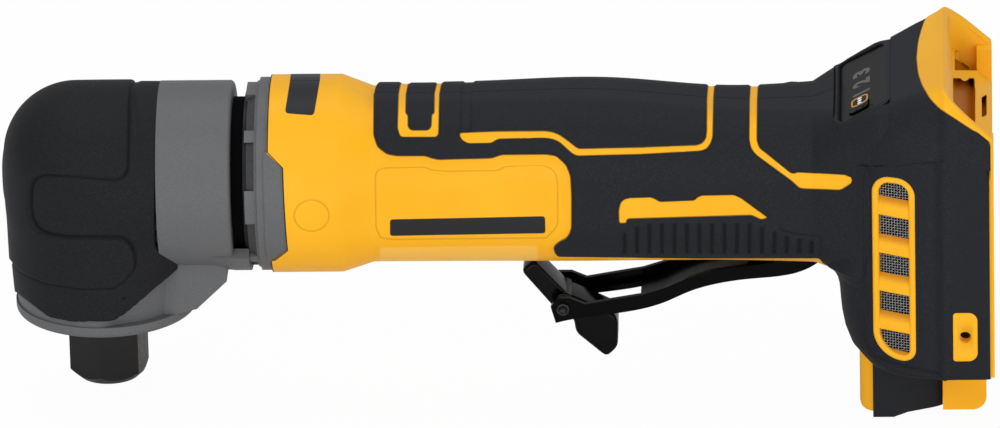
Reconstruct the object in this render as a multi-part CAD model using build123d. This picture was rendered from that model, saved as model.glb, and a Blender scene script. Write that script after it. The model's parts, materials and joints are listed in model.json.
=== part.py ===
from build123d import *
import math
import os

# Cordless right-angle die grinder, bare tool. Millimetres. X runs from the spindle axis back to the
# battery foot, -Y is the left side, Z is up. Pieces are drawn from the point where the spindle axis
# crosses the body axis, and moved up at the end so that the collet mouth is the origin.
AXIS_HEIGHT = 62.2

# Fits between pieces
FIT = 0.03
RUN = 0.04
CLEAR = 0.35

# Head: cast gear case in a rubber boot
HEAD_R = 28.4
HEAD_TOP = 23.1
HEAD_DOME = 16.2
HEAD_DRAFT_R = 27.3
HEAD_DRAFT_Z = -27.0
RIM_R = 26.4
RIM_HEIGHT = 3.4
HEAD_BOTTOM = -40.7
BOOT_WALL = 2.6
BOOT_EDGE = 17.3
BOOT_FLAP = 23.3
PAD_RAISE = 0.8
NECK_R = 27.2
NECK_END = 38.6
NECK_ROUND = 18.0
TONGUE_R = 28.0
TONGUE_WALL = 3.4
TONGUE_END = 43.2
TONGUE_TAPER = 12.0
TONGUE_HALF_ANGLE = 50.0
CHAMBER_R = 13.6
PINION_BORE_R = 11.5
NECK_BORE_R = 22.0
NECK_BORE_START = 21.0

# Groove, exhaust collar and motor barrel
BAFFLE_R = 22.4
BAFFLE_BORE_R = 17.0
BAFFLE_WIDTH = 3.6
COLLAR_R = 28.0
COLLAR_BORE_R = 24.2
COLLAR_LENGTH = 7.3
COLLAR_SETBACK = 0.6
COLLAR_SLOT_HALF = 7.0
COLLAR_SLOT_TURN = 19.0
COLLAR_SLOT_DEPTH = 3.4
COLLAR_LOBE = 5.0
BARREL_R = 28.4
BARREL_LENGTH = 20.5
SHOULDER_LENGTH = 9.0
WALL = 2.4
SKIN = 1.2
LAND = 0.25
SUNK_LINE = 0.7

# Grip sections: half width, top, bottom and corner radius of the rubber's outside
GRIP_LENGTH = 127.0
GRIP_HALF = 26.0
GRIP_TOP = 25.0
GRIP_BOTTOM = -25.6
GRIP_SWELL = 0.2
WAIST_HALF = 25.0
WAIST_TOP = 22.3
WAIST_BOTTOM = -25.0

# Battery foot
RAMP_LENGTH = 16.0
RAMP_TOP = 28.3
RAMP_HALF = 31.5
CROWN_LENGTH = 32.0
CROWN_TOP = 34.3
CROWN_HALF = 37.2
FOOT_SETBACK = 8.3
FOOT_DEPTH = 43.7
FOOT_FRONT_HALF = 27.5
FOOT_SIDE_HALF = 36.4
RAIL_LENGTH = 14.2
RAIL_HALF = 39.5
CREST_TOP = 38.0
CREST_CORNER = 10.5
FOOT_BOTTOM = -51.0
SIDE_TOP = 16.0
MOUTH_SLOPE = 41.5
MOUTH_SETBACK = 30.0
MOUTH_TOP = 43.3
RIM_BAND = 5.5
NOSE_SETBACK = 11.8
NOSE_LENGTH = 28.4
NOSE_RISE = 3.8
PAD_SETBACK = 5.0
RUBBER_SPLIT = 5.0
NOSE_HALF = 22.0
NOSE_BOTTOM = -68.8
HEEL_BOTTOM = -64.9
HEEL_SETBACK = 2.4
HEEL_HALF = 26.0
BAY_HALF = 36.5
BAY_FLOOR = 4.0
BAY_DEPTH = 14.0
BAY_CORNER = 7.0
LIP = 4.0
LIP_THICKNESS = 4.4

# Vents, display and hook hole in the foot
VENT_SETBACK = 18.5
VENT_WIDTH = 13.0
VENT_TOP = 11.0
VENT_BOTTOM = -46.6
VENT_RIM = 1.9
VENT_SLOTS = 5
VENT_PITCH = 11.8
VENT_SLOT_HEIGHT = 6.0
VENT_FIRST = -39.2
DISPLAY_SLOPE = 28.0
DISPLAY_LENGTH = 16.0
DISPLAY_WIDTH = 48.0
DISPLAY_DEPTH = 2.2
DISPLAY_PLATE = 1.3
BUTTON_SIZE = 6.0
BUTTON_INSET = 6.4
HOOK_HOLE_R = 1.75
HOOK_PAD_LENGTH = 7.0
HOOK_PAD_HEIGHT = 15.0
HOOK_PAD_Z = -36.5
HOOK_SETBACK = 43.6
SCREEN_PITCH = 2.4
SCREEN_HOLE = 1.7
SCREEN_THICKNESS = 0.6
TERMINALS = 6
TERMINAL_PITCH = 6.0

# Bevel gears, spindle, collet and nut
MODULE = 1.25
PINION_TEETH = 14
GEAR_TEETH = 17
FACE_WIDTH = 5.2
BACKLASH = 0.3
SPINDLE_TOP_R = 4.0
SPINDLE_GEAR_R = 5.0
SPINDLE_SEAT_R = 6.0
SPINDLE_NOSE_R = 7.0
SPINDLE_COLLAR_R = 8.6
TOP_BEARING_R = 8.0
TOP_BEARING_Z = 9.5
TOP_BEARING_WIDTH = 5.0
LOW_BEARING_R = 14.0
LOW_BEARING_Z = -30.5
LOW_BEARING_WIDTH = 8.0
RETAINER_R = 17.0
RETAINER_HEIGHT = 5.0
COLLET_BORE_R = 3.0
COLLET_R = 5.0
COLLET_LENGTH = 20.0
COLLET_SLITS = 3
NUT_FLATS = 20.6
NUT_LENGTH = 17.8
NUT_TURN = 19.5
NUT_MOUTH = 3.2

# Motor
SHAFT_R = 3.5
MOTOR_BEARING_R = 9.5
MOTOR_BEARING_WIDTH = 6.0
FRONT_BEARING_X = 27.0
REAR_BEARING_X = 85.0
STATOR_X = 54.5
STATOR_LENGTH = 18.0
STATOR_R = 23.8
STATOR_YOKE = 4.2
STATOR_TOOTH = 6.0
STATOR_BORE_R = 12.0
STATOR_POLES = 6
COIL_OVERHANG = 4.0
COIL_WIDTH = 11.0
ROTOR_R = 11.4
FAN_X = 43.9
FAN_R = 21.4
FAN_DEPTH = 6.2
FAN_BLADES = 11
BOARD_THICKNESS = 1.6
MODULE_Z = 2.0
SLEEVE_WALL = 1.2

# Controls under the grip, set from the end of the grip
PADDLE_HALF = 11.0
PADDLE_SHEET = 1.6
PADDLE_WALL = 4.4
PIVOT_SETBACK = 3.0
PIVOT_Z = -19.6
PIVOT_R = 1.5
POCKET_TOP = -15.8
LOCK_REACH = 69.8
LOCK_Z = -38.7
LOCK_PIN_R = 1.5
LOCK_HALF = 5.8
LOCK_ARM = 15.4
LOCK_ARM_ANGLE = 132.0
LOCK_ARM_THICKNESS = 5.0
SPRING_WIRE_R = 0.25
SPRING_R = 2.6
SPRING_TURNS = 2
SPRING_PITCH = 0.95
PLUNGER_REACH = 15.0
PLUNGER_R = 2.6
PLUNGER_GAP = 0.6
SWITCH_LENGTH = 28.0
SWITCH_HALF = 8.0
SWITCH_HEIGHT = 15.0

# Housing screws
SCREW_R = 1.6
SCREW_HEAD_R = 2.9
SCREW_HEAD = 2.4
SCREW_SEAT = 12.0
SCREW_LENGTH = 26.0
BOSS_R = 3.6
CASE_SCREW_R = 1.9
CASE_SCREW_CIRCLE = 18.6

# Places that follow from those sizes
COLLAR_START = NECK_END + BAFFLE_WIDTH
BARREL_START = COLLAR_START + COLLAR_LENGTH
BARREL_END = BARREL_START + BARREL_LENGTH
GRIP_START = BARREL_END + SHOULDER_LENGTH
GRIP_END = GRIP_START + GRIP_LENGTH
FOOT_FRONT = GRIP_END + FOOT_SETBACK
FOOT_REAR = FOOT_FRONT + FOOT_DEPTH
RAIL_START = FOOT_REAR - RAIL_LENGTH
NOSE_START = GRIP_END + NOSE_SETBACK
BAY_START = FOOT_REAR - BAY_DEPTH
PIVOT_X = GRIP_END - PIVOT_SETBACK
LOCK_X = PIVOT_X - LOCK_REACH
PLUNGER_X = PIVOT_X - PLUNGER_REACH
NUT_TOP = NUT_LENGTH - AXIS_HEIGHT
RIM_TOP = HEAD_BOTTOM + RIM_HEIGHT
LEFT_BLOCK = Pos(150, -100, 0) * Box(500, 200, 400)

# Side and far reach of the cutting shapes
REACH = 90.0


def rod_x(radius, start, end):
    return Pos((start + end) / 2, 0, 0) * Rot(0, 90, 0) * Cylinder(radius, end - start)


def rod_y(radius, x, z, start, end):
    return Pos(x, (start + end) / 2, z) * Rot(90, 0, 0) * Cylinder(radius, end - start)


def rod_z(radius, start, end):
    return Pos(0, 0, (start + end) / 2) * Cylinder(radius, end - start)


def block(x0, x1, y0, y1, z0, z1):
    middle = Pos((x0 + x1) / 2, (y0 + y1) / 2, (z0 + z1) / 2)
    return middle * Box(x1 - x0, y1 - y0, z1 - z0)


def side_face(points, corner=0.0):
    # Closed outline seen from the left side, X across and Z up
    face = Polygon(*points, align=None)
    if corner:
        face = fillet(face.vertices(), corner)
    return face


def side_prism(face, near, far):
    # Outline carried across the tool, from Y = near to Y = far
    return Pos(0, far, 0) * extrude(Plane.XZ * face, far - near, dir=(0, -1, 0))


def turned(points, axis=Axis.Z):
    # Half outline of radius and height turned about the spindle axis
    return revolve(Plane.XZ * Polygon(*points, align=None), axis)


def left_of(shape):
    return shape & LEFT_BLOCK


def both(left):
    return left, mirror(left, about=Plane.XZ)


def section(x, half, top, bottom, corner):
    plane = Plane(origin=(x, 0, (top + bottom) / 2), x_dir=(0, 1, 0), z_dir=(1, 0, 0))
    return plane * RectangleRounded(2 * half, top - bottom, corner)


def mouth_block(inset):
    # Everything above the sloping mouth of the battery bay, lowered by the inset
    plane = Plane(
        origin=(GRIP_END + MOUTH_SETBACK, 0, MOUTH_TOP),
        x_dir=(math.cos(math.radians(MOUTH_SLOPE)), 0, -math.sin(math.radians(MOUTH_SLOPE))),
        z_dir=(math.sin(math.radians(MOUTH_SLOPE)), 0, math.cos(math.radians(MOUTH_SLOPE))),
    )
    return plane * Pos(0, 0, REACH / 2 - inset) * Box(2 * REACH, 2 * REACH, REACH)


def grip_solid(grow):
    front = GRIP_START + 0.26 * GRIP_LENGTH
    middle = GRIP_START + 0.54 * GRIP_LENGTH
    waist = GRIP_START + 0.8 * GRIP_LENGTH
    stations = (
        (GRIP_START, GRIP_HALF, GRIP_TOP, GRIP_BOTTOM, 22.0),
        (front, GRIP_HALF - 0.1, GRIP_TOP - 0.1, GRIP_BOTTOM + 0.2, 21.0),
        (middle, GRIP_HALF - 0.3, GRIP_TOP + GRIP_SWELL, GRIP_BOTTOM + 0.4, 19.5),
        (waist, WAIST_HALF, WAIST_TOP, WAIST_BOTTOM, 18.0),
        (GRIP_END, WAIST_HALF + 0.4, WAIST_TOP + 0.2, WAIST_BOTTOM, 16.0),
    )
    return loft([section(x, h + grow, t + grow, b - grow, c + grow) for x, h, t, b, c in stations])


def neck_solid(grow):
    stations = (
        (GRIP_END, WAIST_HALF + 0.4, WAIST_TOP + 0.2, WAIST_BOTTOM, 16.0),
        (GRIP_END + RAMP_LENGTH, RAMP_HALF, RAMP_TOP, WAIST_BOTTOM, 9.0),
        (GRIP_END + CROWN_LENGTH, CROWN_HALF, CROWN_TOP, WAIST_BOTTOM, 10.0),
    )
    faces = [section(x, h + grow, t + grow, b - grow, c + grow) for x, h, t, b, c in stations]
    half, top, low = CROWN_HALF + 1.4 + grow, CROWN_TOP + 3.1 + grow, WAIST_BOTTOM - grow
    end = section(BAY_START + 1.0, half, top, low, 10.5 + grow)
    return loft(faces + [end])


def slant_ends(grow):
    # Front and rear end of the foot's slanting side, as X and half width
    front = (FOOT_FRONT - grow, FOOT_FRONT_HALF + grow)
    rear = (RAIL_START - 1.8 - grow * 0.6, FOOT_SIDE_HALF + grow)
    return front, rear


def nose_solid(grow):
    # Block under the foot that the tool stands on: deepest near its front, rising to the rear
    start = NOSE_START - grow
    end = NOSE_START + NOSE_LENGTH + grow
    low = NOSE_BOTTOM - grow
    profile = side_face(
        (
            (start, FOOT_BOTTOM + 9.0),
            (start, low + 1.7),
            (start + 0.6, low + 0.6),
            (start + 1.8, low + 0.15),
            (start + 5.0, low),
            (start + 11.0, low),
            (start + 15.0, low + 0.4 * NOSE_RISE),
            (end - 2.0, low + NOSE_RISE),
            (end, low + NOSE_RISE + 2.0),
            (end, FOOT_BOTTOM + 9.0),
        )
    )
    plan = RectangleRounded(end - start, 2 * (NOSE_HALF + grow), 6.0)
    column = Pos((start + end) / 2, 0, low - 1.0) * extrude(plan, FOOT_BOTTOM - low + 20.0)
    return column & side_prism(profile, -REACH, REACH)


def foot_solid(grow):
    (corner_x, front_half), (side_x, side_half) = slant_ends(grow)
    rail = RAIL_START - grow * 0.6
    plan = Polygon(
        (corner_x, -front_half),
        (side_x, -side_half),
        (rail + 4.0, -side_half),
        (rail + 4.0, side_half),
        (side_x, side_half),
        (corner_x, front_half),
        align=None,
    )
    plan = fillet(plan.vertices().sort_by(Axis.X)[:2], 11.0)
    sides = Pos(0, 0, FOOT_BOTTOM - grow) * extrude(plan, SIDE_TOP - FOOT_BOTTOM + 2 * grow)
    low = FOOT_BOTTOM - grow
    bend = ThreePointArc((corner_x, low + 19.0), (corner_x + 2.4, low + 8.0), (corner_x + 8.6, low))
    rest = Polyline(
        (corner_x + 8.6, low),
        (FOOT_REAR, low),
        (FOOT_REAR, SIDE_TOP + REACH),
        (corner_x, SIDE_TOP + REACH),
        (corner_x, low + 19.0),
    )
    sides = sides & side_prism(make_face(bend + rest), -REACH, REACH)
    rails = block(rail, FOOT_REAR, -RAIL_HALF - grow, RAIL_HALF + grow, FOOT_BOTTOM - grow, MOUTH_TOP)
    rails = fillet(rails.edges().filter_by(Axis.Z).sort_by(Axis.X)[:2], 1.2)
    crest = section(rail - 1.0, RAIL_HALF + grow, CREST_TOP + grow, -REACH, CREST_CORNER + grow)
    rails = rails & extrude(crest, REACH)
    return sides + rails + nose_solid(grow)


def gusset_solid(grow):
    # Hollow curve from the grip's underside into the front of the foot
    start = FOOT_FRONT - 7.8 - grow
    low = WAIST_BOTTOM - grow
    front = FOOT_FRONT - grow
    bend = front - start
    curve = ThreePointArc(
        (start, low),
        (start + bend * math.sin(math.pi / 4), low - bend + bend * math.cos(math.pi / 4)),
        (front, low - bend),
    )
    edge = Polyline(
        (front, low - bend),
        (front + 6, low - bend),
        (front + 6, low + 6),
        (start, low + 6),
        (start, low),
    )
    return side_prism(make_face(curve + edge), -15.0 - grow, 15.0 + grow)


def body_solid(grow):
    # Outside of the grip, ramp and foot, moved out or in by one amount all over
    body = grip_solid(grow) + neck_solid(grow) + foot_solid(grow) + gusset_solid(grow)
    return body - mouth_block(-grow)


def barrel_solid(grow, start, skin):
    # Motor barrel and the shoulder that tapers into the grip
    ring = section(start, BARREL_R + grow, BARREL_R + grow, -BARREL_R - grow, BARREL_R + grow - 0.6)
    barrel = extrude(ring, BARREL_END - start)
    inner = grow - skin
    first = section(BARREL_END, BARREL_R + grow, BARREL_R + grow, -BARREL_R - grow, BARREL_R + grow - 0.6)
    last = section(GRIP_START, GRIP_HALF + inner, GRIP_TOP + inner, GRIP_BOTTOM - inner, 22.0 + inner)
    return barrel + loft([first, last])


# Outlines on the left side of the moulded housing
def lobe_face(gap):
    points = (
        (BARREL_START - 1.0, 16.0 + gap),
        (BARREL_START - 0.4 + gap, 16.0 + gap),
        (BARREL_START + 4.4 + gap, 12.0 + gap),
        (BARREL_START + COLLAR_LOBE + gap, -14.0 - gap),
        (BARREL_START + 0.8 + gap, -18.4 - gap),
        (BARREL_START - 1.0, -18.4 - gap),
    )
    return side_face(points)


def rubber_face():
    # Where rubber covers the grip and foot
    g = GRIP_START
    outline = Polyline(
        (g + 0.6, REACH),
        (g + 0.6, 16.6),
        (g + 4.6, 13.8),
        (g + 15.6, 13.8),
        (g + 19.4, 12.7),
        (g + 35.4, 12.7),
        (g + 38.0, 13.8),
        (g + 50.4, 13.8),
    )
    corner = ThreePointArc((g + 50.4, 13.8), (g + 55.6, 11.8), (g + 57.7, 7.0))
    rest = Polyline(
        (g + 57.7, 7.0),
        (g + 57.7, -8.0),
        (g + 52.3, -15.2),
        (g + 53.4, -20.4),
        (GRIP_END + 3.0, -20.4),
        (GRIP_END + 3.0, FOOT_BOTTOM - 0.2),
        (FOOT_REAR - 1.6, FOOT_BOTTOM - 0.2),
        (FOOT_REAR - 1.6, REACH),
        (g + 0.6, REACH),
    )
    return make_face(outline + corner + rest)


def band_face():
    # Loop of housing round the top place of the grip
    g = GRIP_START
    outer = side_face(((g + 7.4, 17.5), (g + 20.3, 17.5), (g + 20.3, REACH), (g + 7.4, REACH)))
    inner = side_face(((g + 10.0, 19.2), (g + 17.8, 19.2), (g + 17.8, REACH), (g + 10.0, REACH)))
    return outer - inner


def long_line_face():
    # Line of housing along the upper grip, turned up over the top at its rear end
    g = GRIP_START
    points = (
        (g + 25.7, 19.2),
        (g + 50.0, 19.5),
        (g + 58.6, 15.9),
        (g + 93.6, 15.6),
        (g + 96.9, 18.6),
        (g + 96.9, REACH),
        (g + 99.1, REACH),
        (g + 99.1, 17.4),
        (g + 94.8, 13.5),
        (g + 58.0, 13.8),
        (g + 49.4, 17.4),
        (g + 37.0, 17.4),
        (g + 34.6, 16.3),
        (g + 27.0, 16.3),
    )
    return side_face(points)


def short_line_face():
    # Second line of housing, from over the top down to the lozenge beside the ramp
    e = GRIP_END
    points = (
        (e - 17.8, REACH),
        (e - 17.8, 15.6),
        (e - 6.2, 9.0),
        (e - 5.0, 4.2),
        (e + 9.6, 4.2),
        (e + 11.6, 7.0),
        (e + 9.6, 9.6),
        (e - 4.0, 9.6),
        (e - 15.4, 16.4),
        (e - 15.4, REACH),
    )
    return side_face(points)


def patch_face():
    # Bare patch of housing in the middle of the grip
    e = GRIP_END
    points = (
        (e - 55.6, -6.2),
        (e - 55.6, 1.6),
        (e - 53.6, 3.1),
        (e - 46.6, 3.1),
        (e - 44.6, 1.0),
        (e - 33.0, 1.0),
        (e - 31.0, 3.1),
        (e - 22.6, 3.1),
        (e - 12.1, -4.9),
        (e - 53.0, -4.7),
        (e - 53.6, -6.2),
    )
    return side_face(points)


def vent_face(inset):
    start = GRIP_END + VENT_SETBACK + inset
    end = start + VENT_WIDTH - 2 * inset
    low = VENT_BOTTOM + inset
    high = VENT_TOP - inset
    face = side_face(((start, low), (end, low), (end, high), (start, high)))
    upper = face.vertices().group_by(Axis.Y)[-1]
    face = fillet(upper, 5.5 - inset)
    lower = face.vertices().group_by(Axis.Y)[0].sort_by(Axis.X)
    face = fillet(lower[:1], 9.0 - inset)
    return fillet(face.vertices().group_by(Axis.Y)[0].sort_by(Axis.X)[-1:], 4.0 - inset)


def hook_face():
    x = GRIP_END + HOOK_SETBACK
    half = HOOK_PAD_LENGTH / 2
    tall = HOOK_PAD_HEIGHT / 2
    cut = HOOK_PAD_LENGTH / 3
    points = (
        (x - half, HOOK_PAD_Z - tall),
        (x + half - cut, HOOK_PAD_Z - tall),
        (x + half, HOOK_PAD_Z - tall + cut),
        (x + half, HOOK_PAD_Z + tall - cut),
        (x + half - cut, HOOK_PAD_Z + tall),
        (x - half, HOOK_PAD_Z + tall),
    )
    return side_face(points, 0.9)


def display_plane():
    slope = math.radians(DISPLAY_SLOPE)
    return Plane(
        origin=(GRIP_END + RAMP_LENGTH - 2.7, 0, RAMP_TOP - 1.6),
        x_dir=(math.cos(slope), 0, math.sin(slope)),
        z_dir=(-math.sin(slope), 0, math.cos(slope)),
    )


def display_block(grow, low, high):
    plate = RectangleRounded(DISPLAY_LENGTH + 2 * grow, DISPLAY_WIDTH + 2 * grow, 3.0)
    return display_plane() * Pos(0, 0, low) * extrude(plate, high - low)


def button_block(grow, low, high):
    side = BUTTON_SIZE + 2 * grow
    button = RectangleRounded(side, side, 1.4)
    return display_plane() * Pos(0, BUTTON_INSET - DISPLAY_WIDTH / 2, low) * extrude(button, high - low)


def screw_places():
    return (
        (GRIP_START + 14.0, 10.0),
        (GRIP_START + 14.0, -15.0),
        (GRIP_START + 63.0, 9.0),
        (GRIP_START + 63.0, -15.0),
        (GRIP_END - 6.0, 18.0),
        (NOSE_START + 6.5, -57.0),
        (GRIP_END + 26.0, 24.0),
    )


def vent_slots():
    start = GRIP_END + VENT_SETBACK
    window = vent_face(VENT_RIM)
    slots = Sketch()
    for row in range(VENT_SLOTS):
        low = VENT_FIRST + row * VENT_PITCH - VENT_SLOT_HEIGHT / 2
        end = start + VENT_WIDTH
        strip = ((start, low), (end, low - 0.6), (end, low + 5.4), (start, low + 6.0))
        slots += side_face(strip) & window
    return slots


def paddle_pocket():
    # Slot in the grip's underside that takes the rear of the paddle
    return block(GRIP_END - 30.0, GRIP_END + 4.4, -PADDLE_HALF - 1.0, PADDLE_HALF + 1.0, -40.0, POCKET_TOP)


def housing_left():
    core = barrel_solid(0.0, BARREL_START, SKIN) + left_of(body_solid(-SKIN))
    raised = left_of(body_solid(-LAND))
    sunk = left_of(body_solid(-SUNK_LINE))
    for face in (band_face(), long_line_face(), short_line_face(), patch_face()):
        core += sunk & side_prism(face, -REACH, 0)
    for face in (vent_face(0.0), hook_face()):
        core += raised & side_prism(face, -REACH, 0)
    rim = mouth_block(RIM_BAND) & block(RAIL_START - 30, FOOT_REAR, -REACH, 0, 0, REACH)
    core += raised & rim
    inside = barrel_solid(-WALL, BARREL_START - 1, SKIN)
    inside += body_solid(-SKIN - WALL)
    pocket_roof = block(GRIP_END - 32.4, GRIP_END + 6.8, -PADDLE_HALF - 9.0, 0, -40, POCKET_TOP + WALL)
    bearing_end = REAR_BEARING_X + MOTOR_BEARING_WIDTH
    solid_zones = block(REAR_BEARING_X - 1, bearing_end + 1, -REACH, 0, -REACH, REACH)
    solid_zones += pocket_roof + block(BAY_START - WALL, FOOT_REAR + 9, -REACH, REACH, -REACH, REACH)
    for x, z in screw_places():
        solid_zones += rod_y(BOSS_R, x, z, -REACH, 0)
    seat_hole = rod_x(STATOR_R + FIT, 0, 200)
    for start, end in ((STATOR_X + 2, STATOR_X + 5), (STATOR_X + 12, STATOR_X + STATOR_LENGTH)):
        solid_zones += rod_x(BARREL_R, start, end) - seat_hole
    solid_zones += rod_x(BARREL_R, BARREL_START - 1, BARREL_START + 1.4) - rod_x(COLLAR_BORE_R + 0.1, 0, 200)
    for x in (GRIP_START + 20.0, GRIP_START + 52.0):
        solid_zones += block(x, x + 2.4, -REACH, -11.0, MODULE_Z - 5.0, MODULE_Z)
    shell = left_of(core - (inside - solid_zones))
    bay = block(BAY_START, FOOT_REAR + 9, -BAY_HALF, BAY_HALF, FOOT_BOTTOM + BAY_FLOOR, REACH)
    bay = fillet(bay.edges().filter_by(Axis.Z).sort_by(Axis.X)[:2], BAY_CORNER)
    lip = block(FOOT_REAR - LIP_THICKNESS, FOOT_REAR, -BAY_HALF - 1, LIP - BAY_HALF, FOOT_BOTTOM, 24.0)
    shell = shell - (bay - lip)
    heel = block(BAY_START - 1, FOOT_REAR - HEEL_SETBACK, -HEEL_HALF, 0, HEEL_BOTTOM, FOOT_BOTTOM + SKIN + 1)
    heel = fillet(heel.edges().filter_by(Axis.Y).sort_by(Axis.Z)[:2].sort_by(Axis.X)[-1:], 4.0)
    shell = shell + heel
    shell -= paddle_pocket()
    shell -= side_prism(vent_slots(), -REACH, -20.0)
    shell -= display_block(0.0, -DISPLAY_DEPTH, 20.0)
    shell -= rod_y(HOOK_HOLE_R, GRIP_END + HOOK_SETBACK, HOOK_PAD_Z, -REACH, -BAY_HALF + 1)
    lobe_zone = block(BARREL_START - 2, BARREL_END, -REACH, 0, -REACH, REACH)
    shell -= side_prism(lobe_face(FIT), -REACH, REACH) & lobe_zone
    bearing_hole = MOTOR_BEARING_R + SLEEVE_WALL + FIT
    shell -= rod_x(bearing_hole, REAR_BEARING_X - 3, REAR_BEARING_X + MOTOR_BEARING_WIDTH)
    shell -= rod_x(MOTOR_BEARING_R - 2.5, REAR_BEARING_X, REAR_BEARING_X + MOTOR_BEARING_WIDTH + 3)
    for z in (-1, 1):
        shell -= block(REAR_BEARING_X - 3, REAR_BEARING_X + 12, -9.0, 9.0, z * 16.4 - 2.6, z * 16.4 + 2.6)
    shell -= rod_y(PIVOT_R + FIT, PIVOT_X, PIVOT_Z, -PADDLE_HALF - 4.0, 0)
    shell -= rod_z(PLUNGER_R + 0.2, -40, -10).moved(Location((PLUNGER_X, 0, 0)))
    return shell


def rubber_left():
    rubber = left_of(body_solid(0.0) - body_solid(-SKIN + FIT))
    rubber = rubber & side_prism(rubber_face(), -REACH, 0)
    for face in (band_face(), long_line_face(), short_line_face(), patch_face(), vent_face(0.0), hook_face()):
        rubber -= side_prism(offset(face, FIT), -REACH, 1.0)
    rubber -= mouth_block(RIM_BAND + FIT)
    rubber -= display_block(0.0, -DISPLAY_DEPTH, 20.0)
    rubber -= block(GRIP_END - 30.0, GRIP_END + 5.0, -PADDLE_HALF - 1.0, 0, -40.0, POCKET_TOP)
    rubber -= block(BAY_START, FOOT_REAR, -BAY_HALF, 0, FOOT_BOTTOM + SKIN + FIT, REACH)
    rubber -= block(BAY_START - 1 - FIT, FOOT_REAR, -HEEL_HALF - FIT, 0, HEEL_BOTTOM, FOOT_BOTTOM + SKIN)
    return rubber - nose_solid(FIT)


def foot_pad():
    # Rubber on the sides and bottom of the nose, open at the front
    pad = nose_solid(0.0) - nose_solid(-SKIN + FIT)
    start = NOSE_START + PAD_SETBACK
    pad = pad & block(start, NOSE_START + NOSE_LENGTH + 1, -REACH, REACH, NOSE_BOTTOM - 1, FOOT_BOTTOM - 0.3)
    return pad - block(BAY_START - 1 - FIT, FOOT_REAR, -HEEL_HALF - FIT, HEEL_HALF + FIT, NOSE_BOTTOM - 1, 0)


def round_neck(radius, end):
    # Neck under the boot, its front end rounded down into the head
    neck = rod_x(radius, 0, end)
    return fillet(neck.edges().filter_by(GeomType.CIRCLE).sort_by(Axis.X)[:1], min(NECK_ROUND, end - 0.5))


def tongue_wedge(grow):
    # Sector below the body axis that the gear case's tongue fills
    half = REACH * math.tan(math.radians(TONGUE_HALF_ANGLE))
    wedge = Plane.YZ * Polygon((0, 0), (-half, -REACH), (half, -REACH), align=None)
    return Pos(0, 0, grow * 1.5) * extrude(wedge, 2 * REACH)


def gear_case_outside(grow):
    # Cast outside under the boot, with the round neck, bottom rim and gusset
    wall = BOOT_WALL - grow
    points = (
        (0, HEAD_TOP - wall),
        (HEAD_R - wall, HEAD_TOP - wall),
        (HEAD_R - wall, 2.0),
        (HEAD_DRAFT_R - wall, HEAD_DRAFT_Z),
        (RIM_R - wall, RIM_TOP),
        (0, RIM_TOP),
    )
    outline = Polygon(*points, align=None)
    outline = fillet(outline.vertices().sort_by(Axis.Y)[-2:].sort_by(Axis.X)[-1:], HEAD_DOME - wall)
    head = revolve(Plane.XZ * outline, Axis.Z)
    rim = rod_z(RIM_R + grow, HEAD_BOTTOM, RIM_TOP + grow)
    rim = fillet(rim.edges().sort_by(Axis.Z)[:1], 1.6)
    neck = rod_x(NECK_R + grow, BOOT_EDGE - grow, NECK_END)
    neck = fillet(neck.edges().sort_by(Axis.X)[-1:], 1.2)
    under_boot = round_neck(NECK_R - wall, BOOT_EDGE)
    tongue = turned(
        (
            (NECK_END - TONGUE_TAPER, TONGUE_R - TONGUE_WALL),
            (NECK_END - TONGUE_TAPER, NECK_R - 0.5),
            (NECK_END, TONGUE_R + grow),
            (TONGUE_END + grow, TONGUE_R + grow),
            (TONGUE_END + grow, TONGUE_R - TONGUE_WALL),
        ),
        Axis.X,
    )
    tongue = tongue & tongue_wedge(grow)
    gusset = side_prism(
        side_face(
            (
                (0, HEAD_BOTTOM + 1.0),
                (RIM_R - 8.0, HEAD_BOTTOM + 2.8),
                (RIM_R + 0.8, HEAD_BOTTOM + 4.9),
                (NECK_END - 2.4, -NECK_R),
                (NECK_END - 2.4, 0),
                (0, 0),
            )
        ),
        -16.0 - grow,
        16.0 + grow,
    )
    gusset = gusset & rod_x(-HEAD_BOTTOM, -1.0, NECK_END)
    return head + rim + under_boot + neck + gusset + tongue


def gear_case():
    case = gear_case_outside(0.0)
    top_pocket = rod_z(TOP_BEARING_R + FIT, 0, TOP_BEARING_Z + TOP_BEARING_WIDTH)
    chamber = rod_z(CHAMBER_R, LOW_BEARING_Z, TOP_BEARING_Z)
    low_pocket = rod_z(LOW_BEARING_R + FIT, LOW_BEARING_Z - 1, LOW_BEARING_Z + LOW_BEARING_WIDTH)
    retainer_pocket = rod_z(RETAINER_R + FIT, HEAD_BOTTOM - 1, LOW_BEARING_Z)
    case -= top_pocket + chamber + low_pocket + retainer_pocket
    case -= rod_x(PINION_BORE_R, 0, NECK_BORE_START + 1)
    case -= rod_x(NECK_BORE_R + FIT, NECK_BORE_START, NECK_END + 1)
    for place in PolarLocations(CASE_SCREW_CIRCLE, 4, 45):
        case -= Rot(0, 90, 0) * place * Pos(0, 0, NECK_BORE_START - 4) * Cylinder(CASE_SCREW_R + FIT, 10)
    return case


def boot_outside(grow):
    points = (
        (0, HEAD_TOP + grow),
        (HEAD_R + grow, HEAD_TOP + grow),
        (HEAD_R + grow, 2.0),
        (HEAD_DRAFT_R + grow, HEAD_DRAFT_Z),
        (RIM_R, RIM_TOP + FIT),
        (0, RIM_TOP + FIT),
    )
    outline = Polygon(*points, align=None)
    outline = fillet(outline.vertices().sort_by(Axis.Y)[-2:].sort_by(Axis.X)[-1:], HEAD_DOME + grow)
    return revolve(Plane.XZ * outline, Axis.Z)


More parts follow.
